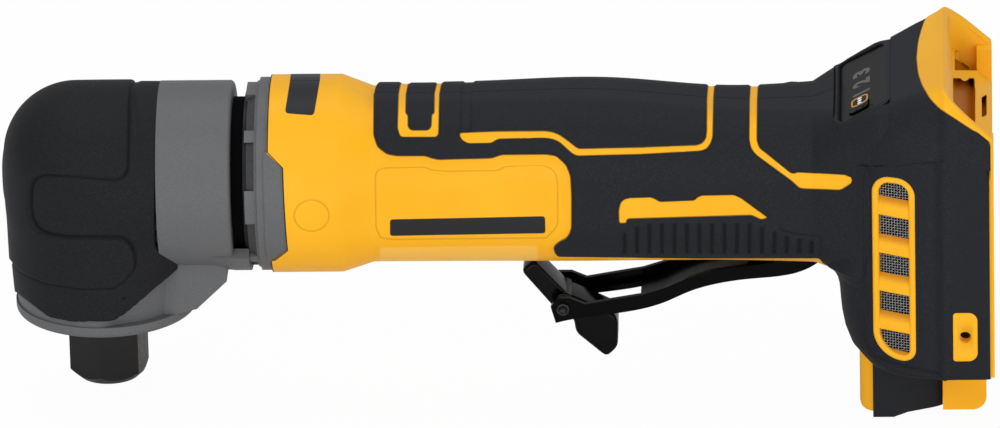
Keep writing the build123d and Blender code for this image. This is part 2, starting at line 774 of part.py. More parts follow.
def head_boot():
    outline = side_face(
        (
            (-REACH, REACH),
            (-REACH, RIM_TOP),
            (5.4, RIM_TOP),
            (BOOT_FLAP, -18.9),
            (BOOT_EDGE, -13.0),
            (BOOT_EDGE, REACH),
        )
    )
    pads = side_face(
        (
            (-REACH, REACH),
            (-REACH, -27.2),
            (3.0, -26.2),
            (5.8, -24.8),
            (11.3, -18.0),
            (11.3, -9.8),
            (-17.0, -9.8),
            (-20.0, -7.0),
            (-20.0, 6.6),
            (-17.0, 9.6),
            (8.9, 9.6),
            (8.9, REACH),
        )
    )
    boot = boot_outside(0.0) + round_neck(NECK_R + 0.6, BOOT_FLAP)
    boot = boot & side_prism(outline, -REACH, REACH)
    raised = boot_outside(PAD_RAISE) + round_neck(NECK_R + 0.6 + PAD_RAISE, BOOT_EDGE)
    boot += raised & side_prism(pads, -REACH, REACH)
    return boot - gear_case_outside(FIT) - rod_z(HEAD_R / 2, HEAD_BOTTOM - 1, 0)


def slot_turns():
    # Two exhaust slots in each quarter, one each side of a narrow rib
    return [45 + 90 * quarter + side * COLLAR_SLOT_TURN for quarter in range(4) for side in (-1, 1)]


def bearing_plate():
    # Carries the front motor bearing; its skirt hooks behind the housing's front rib
    skirt_r = COLLAR_BORE_R - 0.1
    plate = rod_x(NECK_BORE_R, FRONT_BEARING_X - 3, FRONT_BEARING_X + MOTOR_BEARING_WIDTH)
    plate += rod_x(BAFFLE_BORE_R, FRONT_BEARING_X, COLLAR_START + 1)
    plate += rod_x(skirt_r, COLLAR_START, BARREL_START + 1.5)
    plate += rod_x(BARREL_R - WALL - FIT, BARREL_START + 1.5, BARREL_START + 3.0)
    plate -= rod_x(skirt_r - 2.0, COLLAR_START + 1, BARREL_START + 4)
    plate -= rod_x(MOTOR_BEARING_R + FIT, FRONT_BEARING_X, FRONT_BEARING_X + MOTOR_BEARING_WIDTH)
    plate -= rod_x(MOTOR_BEARING_R + 1.5, FRONT_BEARING_X + MOTOR_BEARING_WIDTH, COLLAR_START + 2)
    plate -= rod_x(MOTOR_BEARING_R - 2.5, 0, FRONT_BEARING_X + 1)
    for place in PolarLocations(CASE_SCREW_CIRCLE, 4, 45):
        hole = Cylinder(CASE_SCREW_R + FIT, 40)
        head = Pos(0, 0, FRONT_BEARING_X + MOTOR_BEARING_WIDTH + 20) * Cylinder(3.6, 40)
        plate -= Rot(0, 90, 0) * place * Pos(0, 0, FRONT_BEARING_X) * hole
        plate -= (Rot(0, 90, 0) * place * head) & rod_x(NECK_BORE_R, 0, COLLAR_START - 0.5)
    for turn in slot_turns():
        slot = block(COLLAR_START + 1.2, BARREL_START + 0.5, -5.0, 5.0, BAFFLE_BORE_R, REACH)
        plate -= Rot(turn, 0, 0) * slot
    return plate


def case_screws():
    screws = Part()
    top = FRONT_BEARING_X + MOTOR_BEARING_WIDTH
    for place in PolarLocations(CASE_SCREW_CIRCLE, 4, 45):
        shank = Pos(0, 0, (top + NECK_BORE_START - 8) / 2) * Cylinder(CASE_SCREW_R, top - NECK_BORE_START + 8)
        head = Pos(0, 0, top + 1.5) * Cylinder(3.3, 3.0)
        socket = Pos(0, 0, top + 2.6) * extrude(RegularPolygon(1.5, 6), 1.0)
        screws += Rot(0, 90, 0) * place * (shank + head - socket)
    return screws


def baffle_ring():
    ring = rod_x(BAFFLE_R, NECK_END + FIT, COLLAR_START - FIT) - rod_x(BAFFLE_BORE_R + FIT, 0, REACH)
    return ring


def exhaust_collar():
    front = COLLAR_START
    collar = rod_x(COLLAR_R - 1.0, front + COLLAR_SETBACK, front + 4.2)
    collar += rod_x(COLLAR_R, front + 4.2, BARREL_START)
    ring = rod_x(BARREL_R, BARREL_START - 1.0, BARREL_END) - rod_x(BARREL_R - WALL, 0, REACH)
    lobe = ring & side_prism(lobe_face(0.0), -REACH, REACH)
    collar = collar + lobe - rod_x(COLLAR_BORE_R, 0, BARREL_START)
    for turn in slot_turns():
        slot = block(front - 1, front + COLLAR_SLOT_DEPTH, -COLLAR_SLOT_HALF, COLLAR_SLOT_HALF, 10, REACH)
        collar -= Rot(turn, 0, 0) * slot
    room = rod_x(TONGUE_R + 1.0, 0, TONGUE_END + FIT) & tongue_wedge(CLEAR)
    return collar - room


def bearing_ring(outer, inner, width):
    # Sealed bearing's outer ring and shield, on the Z axis from 0 up
    ring = Pos(0, 0, width / 2) * (Cylinder(outer, width) - Cylinder(outer - 1.6, width + 1))
    shield = Pos(0, 0, width / 2) * (Cylinder(outer - 1.5, width - 0.8) - Cylinder(inner + 2.1, width + 1))
    return ring + shield


def bearing_race(inner, width):
    return Pos(0, 0, width / 2) * (Cylinder(inner + 1.7, width) - Cylinder(inner + FIT, width + 1))


def cone_tooth(scale, radius, pitch_angle):
    # One tooth's end face on the back cone, with involute sides
    equivalent = radius / math.cos(pitch_angle)
    pressure = math.radians(20)
    base = equivalent * math.cos(pressure)
    half_angle = (math.pi * MODULE / 2 - BACKLASH) / (2 * equivalent)

    def half_thickness(height):
        at = max(equivalent + height, base)
        turn = math.acos(base / at)
        involute = math.tan(pressure) - pressure - math.tan(turn) + turn
        return (equivalent + height) * (half_angle + involute)

    tip = 0.85 * MODULE
    root = -1.5 * MODULE
    plane = Plane(
        origin=(scale * radius, 0, scale * radius / math.tan(pitch_angle)),
        x_dir=(0, 1, 0),
        z_dir=(-math.sin(pitch_angle), 0, -math.cos(pitch_angle)),
    )
    low, middle, high = [scale * half_thickness(h) for h in (root, 0, tip)]
    edges = ThreePointArc((low, scale * root), (middle, 0), (high, scale * tip))
    edges += Line((high, scale * tip), (-high, scale * tip))
    edges += ThreePointArc((-high, scale * tip), (-middle, 0), (-low, scale * root))
    edges += Line((-low, scale * root), (low, scale * root))
    return plane * make_face(edges)


def bevel_gear(teeth, mate_teeth, bore, hub, hub_length, phase):
    # Straight bevel gear, its cone's point at the origin and its axis along +Z
    radius = MODULE * teeth / 2
    angle = math.atan2(teeth, mate_teeth)
    cone = radius / math.sin(angle)
    inner = (cone - FACE_WIDTH) / cone
    root = 1.2 * MODULE
    root_r = radius - root * math.cos(angle)
    root_z = radius / math.tan(angle) + root * math.sin(angle)
    body = turned(
        (
            (bore, inner * root_z),
            (inner * root_r, inner * root_z),
            (root_r, root_z),
            (hub, root_z + 1.4),
            (hub, root_z + hub_length),
            (bore, root_z + hub_length),
        )
    )
    tooth = loft([cone_tooth(1.0, radius, angle), cone_tooth(inner, radius, angle)], ruled=True)
    teeth_solid = [Rot(0, 0, 360 / teeth * (index + phase)) * tooth for index in range(teeth)]
    return body + teeth_solid


def drive_pinion():
    return Rot(0, 90, 0) * bevel_gear(PINION_TEETH, GEAR_TEETH, SHAFT_R + FIT, 6.4, 4.6, 0.0)


def driven_gear():
    return Rot(180, 0, 0) * bevel_gear(GEAR_TEETH, PINION_TEETH, SPINDLE_GEAR_R + FIT, 7.6, 5.6, 0.5)


GEAR_SEAT = -MODULE * PINION_TEETH / 2 - 1.2 * MODULE * math.sin(math.atan2(GEAR_TEETH, PINION_TEETH)) - 5.6
SPINDLE_END = NUT_MOUTH + 1.2 - AXIS_HEIGHT
COLLET_TOP = COLLET_LENGTH - AXIS_HEIGHT


def spindle():
    points = (
        (0, TOP_BEARING_Z + TOP_BEARING_WIDTH - 0.4),
        (SPINDLE_TOP_R, TOP_BEARING_Z + TOP_BEARING_WIDTH - 0.4),
        (SPINDLE_TOP_R, -6.0),
        (SPINDLE_GEAR_R, -6.0),
        (SPINDLE_GEAR_R, GEAR_SEAT),
        (SPINDLE_SEAT_R, GEAR_SEAT),
        (SPINDLE_SEAT_R, LOW_BEARING_Z),
        (SPINDLE_COLLAR_R, LOW_BEARING_Z),
        (SPINDLE_COLLAR_R, NUT_TOP + CLEAR),
        (SPINDLE_NOSE_R, NUT_TOP + CLEAR),
        (SPINDLE_NOSE_R, SPINDLE_END),
        (0, SPINDLE_END),
    )
    socket = turned(
        (
            (0, COLLET_TOP + 2.0),
            (COLLET_R - 0.6 + RUN, COLLET_TOP + 2.0),
            (COLLET_R - 0.6 + RUN, COLLET_TOP),
            (COLLET_R + RUN, SPINDLE_END),
            (0, SPINDLE_END),
        )
    )
    flats = block(-20, 20, SPINDLE_COLLAR_R - 1.1, 20, NUT_TOP + CLEAR, HEAD_BOTTOM)
    return turned(points) - socket - flats - mirror(flats, about=Plane.XZ)


def spindle_races():
    top = Pos(0, 0, TOP_BEARING_Z) * bearing_race(SPINDLE_TOP_R, TOP_BEARING_WIDTH - 0.4)
    low = Pos(0, 0, LOW_BEARING_Z) * bearing_race(SPINDLE_SEAT_R, LOW_BEARING_WIDTH)
    return top + low


def collet():
    bottom = -AXIS_HEIGHT
    shoulder = NUT_MOUTH + 0.05 - AXIS_HEIGHT
    points = (
        (COLLET_BORE_R, bottom),
        (COLLET_R, bottom),
        (COLLET_R, shoulder),
        (COLLET_R + 0.9, shoulder),
        (COLLET_R + 0.9, SPINDLE_END - 0.15),
        (COLLET_R, SPINDLE_END - 0.15),
        (COLLET_R - 0.6, COLLET_TOP),
        (COLLET_BORE_R, COLLET_TOP),
    )
    body = turned(points)
    for index in range(COLLET_SLITS):
        slit = block(COLLET_BORE_R - 1, COLLET_R + 3, -0.4, 0.4, bottom - 1, COLLET_TOP - 4.0)
        body -= Rot(0, 0, 360 / COLLET_SLITS * index + 30) * slit
    return body


def collet_nut():
    bottom = -AXIS_HEIGHT
    corner = NUT_FLATS / math.sqrt(3)
    hexagon = Pos(0, 0, bottom) * extrude(RegularPolygon(corner, 6, rotation=NUT_TURN), NUT_LENGTH)
    rounding = turned(
        (
            (0, bottom),
            (corner - 3.2, bottom),
            (corner, bottom + 3.0),
            (corner, NUT_TOP - 0.8),
            (corner - 1.2, NUT_TOP),
            (0, NUT_TOP),
        )
    )
    nut = hexagon & rounding
    nut -= rod_z(COLLET_R + 0.05, bottom - 1, NUT_TOP)
    return nut - rod_z(SPINDLE_NOSE_R + 0.12, bottom + NUT_MOUTH, NUT_TOP + 1)


def bearing_retainer():
    ring = rod_z(RETAINER_R, LOW_BEARING_Z - RETAINER_HEIGHT, LOW_BEARING_Z - FIT)
    return ring - rod_z(SPINDLE_COLLAR_R + 0.8, HEAD_BOTTOM, 0)


def spindle_seal():
    top = LOW_BEARING_Z - RETAINER_HEIGHT - FIT
    return rod_z(RETAINER_R, top - 2.0, top) - rod_z(SPINDLE_COLLAR_R + 0.3, HEAD_BOTTOM, 0)


def rotor_shaft():
    end = REAR_BEARING_X + MOTOR_BEARING_WIDTH
    return rod_x(SHAFT_R, MODULE * GEAR_TEETH / 2 - FACE_WIDTH * 0.7, end)


def rotor_races():
    front = Pos(FRONT_BEARING_X, 0, 0) * Rot(0, 90, 0) * bearing_race(SHAFT_R, MOTOR_BEARING_WIDTH)
    rear = Pos(REAR_BEARING_X, 0, 0) * Rot(0, 90, 0) * bearing_race(SHAFT_R, MOTOR_BEARING_WIDTH)
    return front + rear


def rotor_core():
    return rod_x(ROTOR_R - 1.8, STATOR_X, STATOR_X + STATOR_LENGTH) - rod_x(SHAFT_R + FIT, 0, 200)


def rotor_magnets():
    ring = rod_x(ROTOR_R, STATOR_X + 0.5, STATOR_X + STATOR_LENGTH - 0.5) - rod_x(ROTOR_R - 1.8 + FIT, 0, 200)
    for turn in (0, 90):
        ring -= Rot(turn, 0, 0) * block(0, 200, -0.8, 0.8, -REACH, REACH)
    return ring


def cooling_fan():
    fan_end = FAN_X + FAN_DEPTH
    fan = rod_x(SHAFT_R + 3.0, FAN_X, fan_end) + rod_x(FAN_R, fan_end - 1.2, fan_end)
    blade = block(FAN_X, FAN_X + FAN_DEPTH - 1.0, -0.5, 0.5, SHAFT_R + 5.5, FAN_R - 0.3)
    for index in range(FAN_BLADES):
        fan += Rot(360 / FAN_BLADES * index, 0, 0) * Pos(0, 4.0, 0) * Rot(18, 0, 0) * Pos(0, -4.0, 0) * blade
    fan = fan & rod_x(FAN_R, 0, 200)
    return fan - rod_x(SHAFT_R + FIT, 0, 200)


def stator_core():
    core = rod_x(STATOR_R, STATOR_X, STATOR_X + STATOR_LENGTH)
    core -= rod_x(STATOR_R - STATOR_YOKE, 0, 200)
    tooth = block(
        STATOR_X,
        STATOR_X + STATOR_LENGTH,
        -STATOR_TOOTH / 2,
        STATOR_TOOTH / 2,
        0,
        STATOR_R - STATOR_YOKE + 0.5,
    )
    shoe = block(STATOR_X, STATOR_X + STATOR_LENGTH, -5.2, 5.2, 0, STATOR_BORE_R + 1.4)
    for index in range(STATOR_POLES):
        core += Rot(360 / STATOR_POLES * index, 0, 0) * (tooth + shoe)
    return core - rod_x(STATOR_BORE_R, 0, 200)


def stator_windings():
    length = STATOR_LENGTH + 2 * COIL_OVERHANG
    low = STATOR_BORE_R + 1.4 + 0.1
    high = STATOR_R - STATOR_YOKE - 0.6
    middle = STATOR_X + STATOR_LENGTH / 2
    coil = block(middle - length / 2, middle + length / 2, -COIL_WIDTH / 2, COIL_WIDTH / 2, low, high)
    coil = fillet(coil.edges().filter_by(Axis.Z), 3.0)
    half = STATOR_TOOTH / 2 + 0.1
    coil -= block(STATOR_X - 0.1, STATOR_X + STATOR_LENGTH + 0.1, -half, half, 0, REACH)
    coil = coil & rod_x(high, 0, 200)
    coils = Part()
    for index in range(STATOR_POLES):
        coils += Rot(360 / STATOR_POLES * index, 0, 0) * coil
    return coils


def hall_board():
    start = STATOR_X + STATOR_LENGTH + COIL_OVERHANG + 0.4
    board = rod_x(STATOR_R - STATOR_YOKE - 0.8, start, start + BOARD_THICKNESS)
    return board - rod_x(SHAFT_R + 4.0, 0, 200)


def bearing_sleeve():
    sleeve = rod_x(MOTOR_BEARING_R + SLEEVE_WALL, REAR_BEARING_X, REAR_BEARING_X + MOTOR_BEARING_WIDTH)
    return sleeve - rod_x(MOTOR_BEARING_R + FIT, 0, 200)


def control_module():
    x = GRIP_START + 18.0
    tray = block(x, x + 38.0, -16.0, 16.0, MODULE_Z, MODULE_Z + 13.0)
    tray = fillet(tray.edges().filter_by(Axis.Z), 2.5)
    return tray - block(x + 1.8, x + 36.2, -14.2, 14.2, MODULE_Z + 2.0, MODULE_Z + 20)


def control_board():
    x = GRIP_START + 18.0
    base = MODULE_Z + 2.0 + FIT
    board = block(x + 2.2, x + 35.8, -13.8, 13.8, base, base + 6.0)
    for row in range(3):
        for side in (-1, 1):
            chip_x = x + 5 + 9 * row
            board += block(chip_x, chip_x + 6, side * 7 - 4, side * 7 + 4, base + 5, base + 8.5)
    return board


def switch_body():
    start = PLUNGER_X - 10.0
    low = POCKET_TOP + WALL + FIT
    body = block(start, start + SWITCH_LENGTH, -SWITCH_HALF, SWITCH_HALF, low, low + SWITCH_HEIGHT)
    body = fillet(body.edges().filter_by(Axis.Y), 1.2)
    return body - Pos(PLUNGER_X, 0, 0) * rod_z(PLUNGER_R + RUN, low - 1, low + 6.5)


def paddle_line(lift):
    # Underside of the paddle from its front end to its rear tip, lifted by one amount
    front = PIVOT_X - LOCK_REACH - 2.2
    depths = (
        (0.0, -43.1),
        (16.0, -40.4),
        (25.0, -38.9),
        (32.0, -36.7),
        (38.5, -33.7),
        (45.4, -31.5),
        (56.7, -29.7),
        (71.0, -27.6),
        (77.8, -23.4),
    )
    return [(front + along, depth + lift) for along, depth in depths]


def switch_plunger():
    line = paddle_line(PADDLE_SHEET)
    before, after = line[6], line[7]
    share = (PLUNGER_X - before[0]) / (after[0] - before[0])
    floor = before[1] + share * (after[1] - before[1]) + PLUNGER_GAP
    top = POCKET_TOP + WALL + 4.6
    plunger = rod_z(PLUNGER_R, floor, top)
    plunger = fillet(plunger.edges().sort_by(Axis.Z)[:1], 1.4)
    return Pos(PLUNGER_X, 0, 0) * plunger


def paddle_lever():
    outside = paddle_line(0.0)
    inside = paddle_line(PADDLE_SHEET)
    front = outside[0][0]
    top = Polyline(
        outside[-1],
        (outside[-1][0], PIVOT_Z + 1.0),
        (PIVOT_X + 2.6, PIVOT_Z + 3.2),
        (PIVOT_X - 2.6, PIVOT_Z + 3.2),
        (PIVOT_X - 8.6, outside[6][1] + PADDLE_WALL + 0.6),
        (outside[5][0], outside[5][1] + PADDLE_WALL),
        (outside[4][0], outside[4][1] + PADDLE_WALL),
        (outside[3][0], outside[3][1] + PADDLE_WALL),
        (outside[2][0], outside[2][1] + PADDLE_WALL),
        (outside[1][0], outside[1][1] + PADDLE_WALL),
        (LOCK_X + 6.4, LOCK_Z + 1.4),
        (LOCK_X + 2.0, LOCK_Z + 3.3),
        (LOCK_X - 1.8, LOCK_Z + 3.3),
        (front - 1.4, LOCK_Z + 0.6),
        (front, outside[0][1]),
    )
    profile = make_face(Spline(*outside) + top)
    channel = side_prism(profile, -PADDLE_HALF, PADDLE_HALF)
    hollow = Spline(*inside) + Polyline(
        inside[-1], (inside[-1][0] + 20, inside[-1][1]), (inside[-1][0] + 20, 0), (front - 20, 0),
        (front - 20, inside[0][1]), inside[0],
    )
    inner = PADDLE_HALF - PADDLE_SHEET
    channel -= side_prism(make_face(hollow), -inner, inner)
    channel -= block(LOCK_X - 1.4, LOCK_X + 22.4, -LOCK_HALF - 0.7, LOCK_HALF + 0.7, -REACH, 0)
    channel -= block(front - 10, LOCK_X + 5.0, -inner, inner, -REACH, 0)
    channel -= rod_y(PIVOT_R + RUN, PIVOT_X, PIVOT_Z, -REACH, REACH)
    return channel - rod_y(LOCK_PIN_R + FIT, LOCK_X, LOCK_Z, -REACH, REACH)


def lock_lever():
    angle = math.radians(LOCK_ARM_ANGLE)
    along = (math.cos(angle), math.sin(angle))
    half = LOCK_ARM_THICKNESS / 2
    side = (along[1] * half, -along[0] * half)
    tip = (LOCK_X + LOCK_ARM * along[0], LOCK_Z + LOCK_ARM * along[1])
    arm = side_face(
        (
            (LOCK_X + side[0], LOCK_Z + side[1]),
            (tip[0] + side[0], tip[1] + side[1]),
            (tip[0] - side[0], tip[1] - side[1]),
            (LOCK_X - side[0] - 0.6, LOCK_Z - side[1] - 0.6),
        )
    )
    tab = side_face(
        (
            (LOCK_X + 1.5, LOCK_Z + 2.4),
            (LOCK_X + 14.4, LOCK_Z - 3.8),
            (LOCK_X + 15.7, LOCK_Z - 6.2),
            (LOCK_X + 15.5, LOCK_Z - 14.4),
            (LOCK_X + 12.2, LOCK_Z - 17.6),
            (LOCK_X + 3.4, LOCK_Z - 9.9),
            (LOCK_X + 2.8, LOCK_Z - 5.4),
            (LOCK_X - 0.6, LOCK_Z - 2.4),
        )
    )
    tab = fillet(tab.vertices().sort_by(Axis.Y)[:2], 1.3)
    lever = side_prism(arm, -LOCK_HALF, LOCK_HALF) + side_prism(tab, -LOCK_HALF, LOCK_HALF)
    lever += rod_y(LOCK_PIN_R + 1.5, LOCK_X, LOCK_Z, -LOCK_HALF, LOCK_HALF)
    return lever - rod_y(LOCK_PIN_R + RUN, LOCK_X, LOCK_Z, -REACH, REACH)


def lock_spring():
    # Torsion spring beside the lever's hub: two turns of wire with a short leg at each end
    start = -LOCK_HALF - SPRING_WIRE_R - 0.05

    def coil_point(turn):
        swing = 2 * math.pi * turn
        x = LOCK_X + SPRING_R * math.cos(swing)
        z = LOCK_Z + SPRING_R * math.sin(swing)
        return (x, start - SPRING_PITCH * turn, z)

    path = Curve()
    halves = 2 * SPRING_TURNS
    for half in range(halves):
        path += ThreePointArc(coil_point(half / 2), coil_point(half / 2 + 0.25), coil_point(half / 2 + 0.5))
    print("spring gap", round(SPRING_PITCH - 2 * SPRING_WIRE_R, 3))
    first = path.edges()[0]
    ring = Plane(origin=first @ 0, z_dir=first % 0) * Circle(SPRING_WIRE_R)
    return sweep(ring, path=path)


def pin(radius, x, z, half):
    rod = rod_y(radius, x, z, -half, half)
    return chamfer(rod.edges().filter_by(GeomType.CIRCLE), 0.3)


def terminal_block():
    low = FOOT_BOTTOM + BAY_FLOOR + FIT
    body = block(BAY_START + FIT, BAY_START + 8.0, -19.0, 19.0, low, low + 22.0)
    body = fillet(body.edges().filter_by(Axis.Z).sort_by(Axis.X)[-2:], 1.5)
    for index in range(TERMINALS):
        y = (index - (TERMINALS - 1) / 2) * TERMINAL_PITCH
        body -= block(BAY_START + 2.6, BAY_START + 6.6, y - 0.45, y + 0.45, low + 4.0, REACH)
    return body


def terminal_blades():
    low = FOOT_BOTTOM + BAY_FLOOR + FIT
    blades = Part()
    for index in range(TERMINALS):
        y = (index - (TERMINALS - 1) / 2) * TERMINAL_PITCH
        near = BAY_START + 2.6 + FIT
        far = BAY_START + 6.6 - FIT
        blades += block(near, far, y - 0.4, y + 0.4, low + 4.0 + FIT, low + 33.0)
    return blades


def vent_screen_left():
    front, rear = slant_ends(-SKIN - WALL)
    slant = math.atan2(rear[1] - front[1], rear[0] - front[0])
    middle = GRIP_END + VENT_SETBACK + VENT_WIDTH / 2
    inside = front[1] + (middle - front[0]) * math.tan(slant) - 0.1 / math.cos(slant)
    plane = Plane(
        origin=(middle, -inside, (VENT_TOP + VENT_BOTTOM) / 2),
        x_dir=(math.cos(slant), -math.sin(slant), 0),
        z_dir=(-math.sin(slant), -math.cos(slant), 0),
    )
    height = VENT_TOP - VENT_BOTTOM - 1.0
    rows = int(height / SCREEN_PITCH) - 1
    columns = int(VENT_WIDTH / SCREEN_PITCH) - 1
    face = Rectangle(VENT_WIDTH, height)
    face -= GridLocations(SCREEN_PITCH, SCREEN_PITCH, columns, rows) * Rectangle(SCREEN_HOLE, SCREEN_HOLE)
    return extrude(plane * face, -SCREEN_THICKNESS)


def display_panel():
    plate = display_block(-FIT, FIT - DISPLAY_DEPTH, DISPLAY_PLATE - DISPLAY_DEPTH)
    return plate - button_block(CLEAR, -20.0, 20.0)


def speed_button():
    return button_block(0.0, -DISPLAY_DEPTH - 1.2, DISPLAY_PLATE - DISPLAY_DEPTH + 0.5)


def housing_screws():
    screws = Part()
    for x, z in screw_places():
        screw = rod_y(SCREW_R, x, z, SCREW_SEAT - SCREW_LENGTH, SCREW_SEAT)
        head = rod_y(SCREW_HEAD_R, x, z, SCREW_SEAT, SCREW_SEAT + SCREW_HEAD)
        socket = Pos(x, SCREW_SEAT + SCREW_HEAD, z) * Rot(90, 0, 0) * extrude(RegularPolygon(1.5, 6), 1.4)
        screws += screw + head - socket
    return screws


SEAT = Pos(0, 0, AXIS_HEIGHT)


def write(name, shape):
    export_step(SEAT * shape, f"parts/{name}.step")


def write_housing():
    left, right = both(housing_left())
    left -= button_block(CLEAR, -DISPLAY_DEPTH - 2.6, 1.0)
    rubber = rubber_left()
    split = GRIP_END + RUBBER_SPLIT
    grip_l, grip_r = both(rubber & block(0, split, -REACH, 0, -REACH, REACH))
    foot_l, foot_r = both(rubber & block(split, FOOT_REAR, -REACH, 0, -REACH, REACH))
    for x, z in screw_places():
        left -= rod_y(SCREW_R + FIT, x, z, SCREW_SEAT - SCREW_LENGTH - 1, 1)
        right -= rod_y(SCREW_R + FIT, x, z, -1, SCREW_SEAT + 1)
        bore = rod_y(SCREW_HEAD_R + 0.3, x, z, SCREW_SEAT, REACH)
        right -= bore
        grip_r -= bore
        foot_r -= bore
    write("housing_left", left)
    write("housing_right", right)
    write("grip_rubber_left", grip_l)
    write("grip_rubber_right", grip_r)
    write("foot_rubber_left", foot_l)
    write("foot_rubber_right", foot_r)


def main():
    os.makedirs("parts", exist_ok=True)
    write_housing()
    write("foot_pad", foot_pad())
    write("gear_case", gear_case())
    write("head_boot", head_boot())
    write("bearing_plate", bearing_plate())
    write("case_screws", case_screws())
    write("baffle_ring", baffle_ring())
    write("exhaust_collar", exhaust_collar())
    top_ring = bearing_ring(TOP_BEARING_R, SPINDLE_TOP_R, TOP_BEARING_WIDTH)
    write("spindle_top_bearing", Pos(0, 0, TOP_BEARING_Z) * top_ring)
    low_ring = bearing_ring(LOW_BEARING_R, SPINDLE_SEAT_R, LOW_BEARING_WIDTH)
    write("spindle_low_bearing", Pos(0, 0, LOW_BEARING_Z) * low_ring)
    motor_ring = Rot(0, 90, 0) * bearing_ring(MOTOR_BEARING_R, SHAFT_R, MOTOR_BEARING_WIDTH)
    write("motor_front_bearing", Pos(FRONT_BEARING_X, 0, 0) * motor_ring)
    write("motor_rear_bearing", Pos(REAR_BEARING_X, 0, 0) * motor_ring)
    write("bearing_sleeve", bearing_sleeve())
    write("bearing_retainer", bearing_retainer())
    write("spindle_seal", spindle_seal())
    write("spindle", spindle())
    write("spindle_races", spindle_races())
    write("driven_gear", driven_gear())
    write("collet", collet())
    write("collet_nut", collet_nut())
    write("rotor_shaft", rotor_shaft())
    write("rotor_races", rotor_races())
    write("rotor_core", rotor_core())
    write("rotor_magnets", rotor_magnets())
    write("cooling_fan", cooling_fan())
    write("drive_pinion", drive_pinion())
    write("stator_core", stator_core())
    write("stator_windings", stator_windings())
    write("hall_board", hall_board())
    write("control_module", control_module())
    write("control_board", control_board())
    write("switch_body", switch_body())
    write("switch_plunger", switch_plunger())
    write("paddle_lever", paddle_lever())
    write("paddle_pin", pin(PIVOT_R, PIVOT_X, PIVOT_Z, PADDLE_HALF + 4.0 - FIT))
    write("lock_lever", lock_lever())
    write("lock_pin", pin(LOCK_PIN_R, LOCK_X, LOCK_Z, PADDLE_HALF + 0.6))
    write("lock_spring", lock_spring())
    write("terminal_block", terminal_block())
    write("terminal_blades", terminal_blades())
    screen_left, screen_right = both(vent_screen_left())
    write("vent_screen_left", screen_left)
    write("vent_screen_right", screen_right)
    write("display_panel", display_panel())
    write("speed_button", speed_button())
    write("housing_screws", housing_screws())


if __name__ == "__main__":
    main()
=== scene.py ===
import json
import math
import bpy
import numpy as np
from mathutils import Matrix, Vector

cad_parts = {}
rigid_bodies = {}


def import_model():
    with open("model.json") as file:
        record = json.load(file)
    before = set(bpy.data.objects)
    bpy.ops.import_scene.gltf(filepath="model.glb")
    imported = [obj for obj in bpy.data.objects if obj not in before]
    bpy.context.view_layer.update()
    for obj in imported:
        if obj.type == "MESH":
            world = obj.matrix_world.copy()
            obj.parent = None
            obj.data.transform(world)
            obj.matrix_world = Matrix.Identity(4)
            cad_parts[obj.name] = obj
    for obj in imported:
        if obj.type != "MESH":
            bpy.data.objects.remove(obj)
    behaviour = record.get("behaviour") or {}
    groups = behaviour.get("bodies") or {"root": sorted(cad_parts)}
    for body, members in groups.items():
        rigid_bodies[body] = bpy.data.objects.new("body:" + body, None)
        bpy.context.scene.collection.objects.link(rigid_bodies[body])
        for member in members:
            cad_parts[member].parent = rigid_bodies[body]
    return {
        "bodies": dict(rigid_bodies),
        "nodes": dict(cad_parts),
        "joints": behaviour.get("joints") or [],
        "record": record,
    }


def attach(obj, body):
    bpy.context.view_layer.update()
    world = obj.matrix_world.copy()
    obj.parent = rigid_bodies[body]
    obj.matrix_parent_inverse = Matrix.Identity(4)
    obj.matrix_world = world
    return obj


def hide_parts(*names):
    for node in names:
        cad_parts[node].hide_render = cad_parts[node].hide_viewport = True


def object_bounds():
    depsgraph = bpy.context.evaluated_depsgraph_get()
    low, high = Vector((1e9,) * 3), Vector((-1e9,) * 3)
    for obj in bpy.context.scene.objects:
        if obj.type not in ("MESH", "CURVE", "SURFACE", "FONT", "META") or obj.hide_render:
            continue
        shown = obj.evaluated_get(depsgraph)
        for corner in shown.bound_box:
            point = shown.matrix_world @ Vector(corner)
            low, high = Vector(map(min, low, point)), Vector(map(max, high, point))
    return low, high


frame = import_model()
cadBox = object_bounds()
nodes = frame["nodes"]
axisHeight = 62.2  # mm from the collet mouth up to the body's axis


class Wire:
    # A socket that takes plain maths: each operation adds its Math node
    def __init__(self, finish, socket):
        self.finish = finish
        self.socket = socket

    def join(self, operation, *parts):
        return self.finish.node("ShaderNodeMath", {"operation": operation}, dict(enumerate(parts)))

    def __add__(self, other):
        return self.join("ADD", self, other)

    def __rsub__(self, other):
        return self.join("SUBTRACT", other, self)

    def __mul__(self, other):
        return self.join("MULTIPLY", self, other)

    def __rmul__(self, other):
        return self.join("MULTIPLY", other, self)

    def __abs__(self):
        return self.join("ABSOLUTE", self)


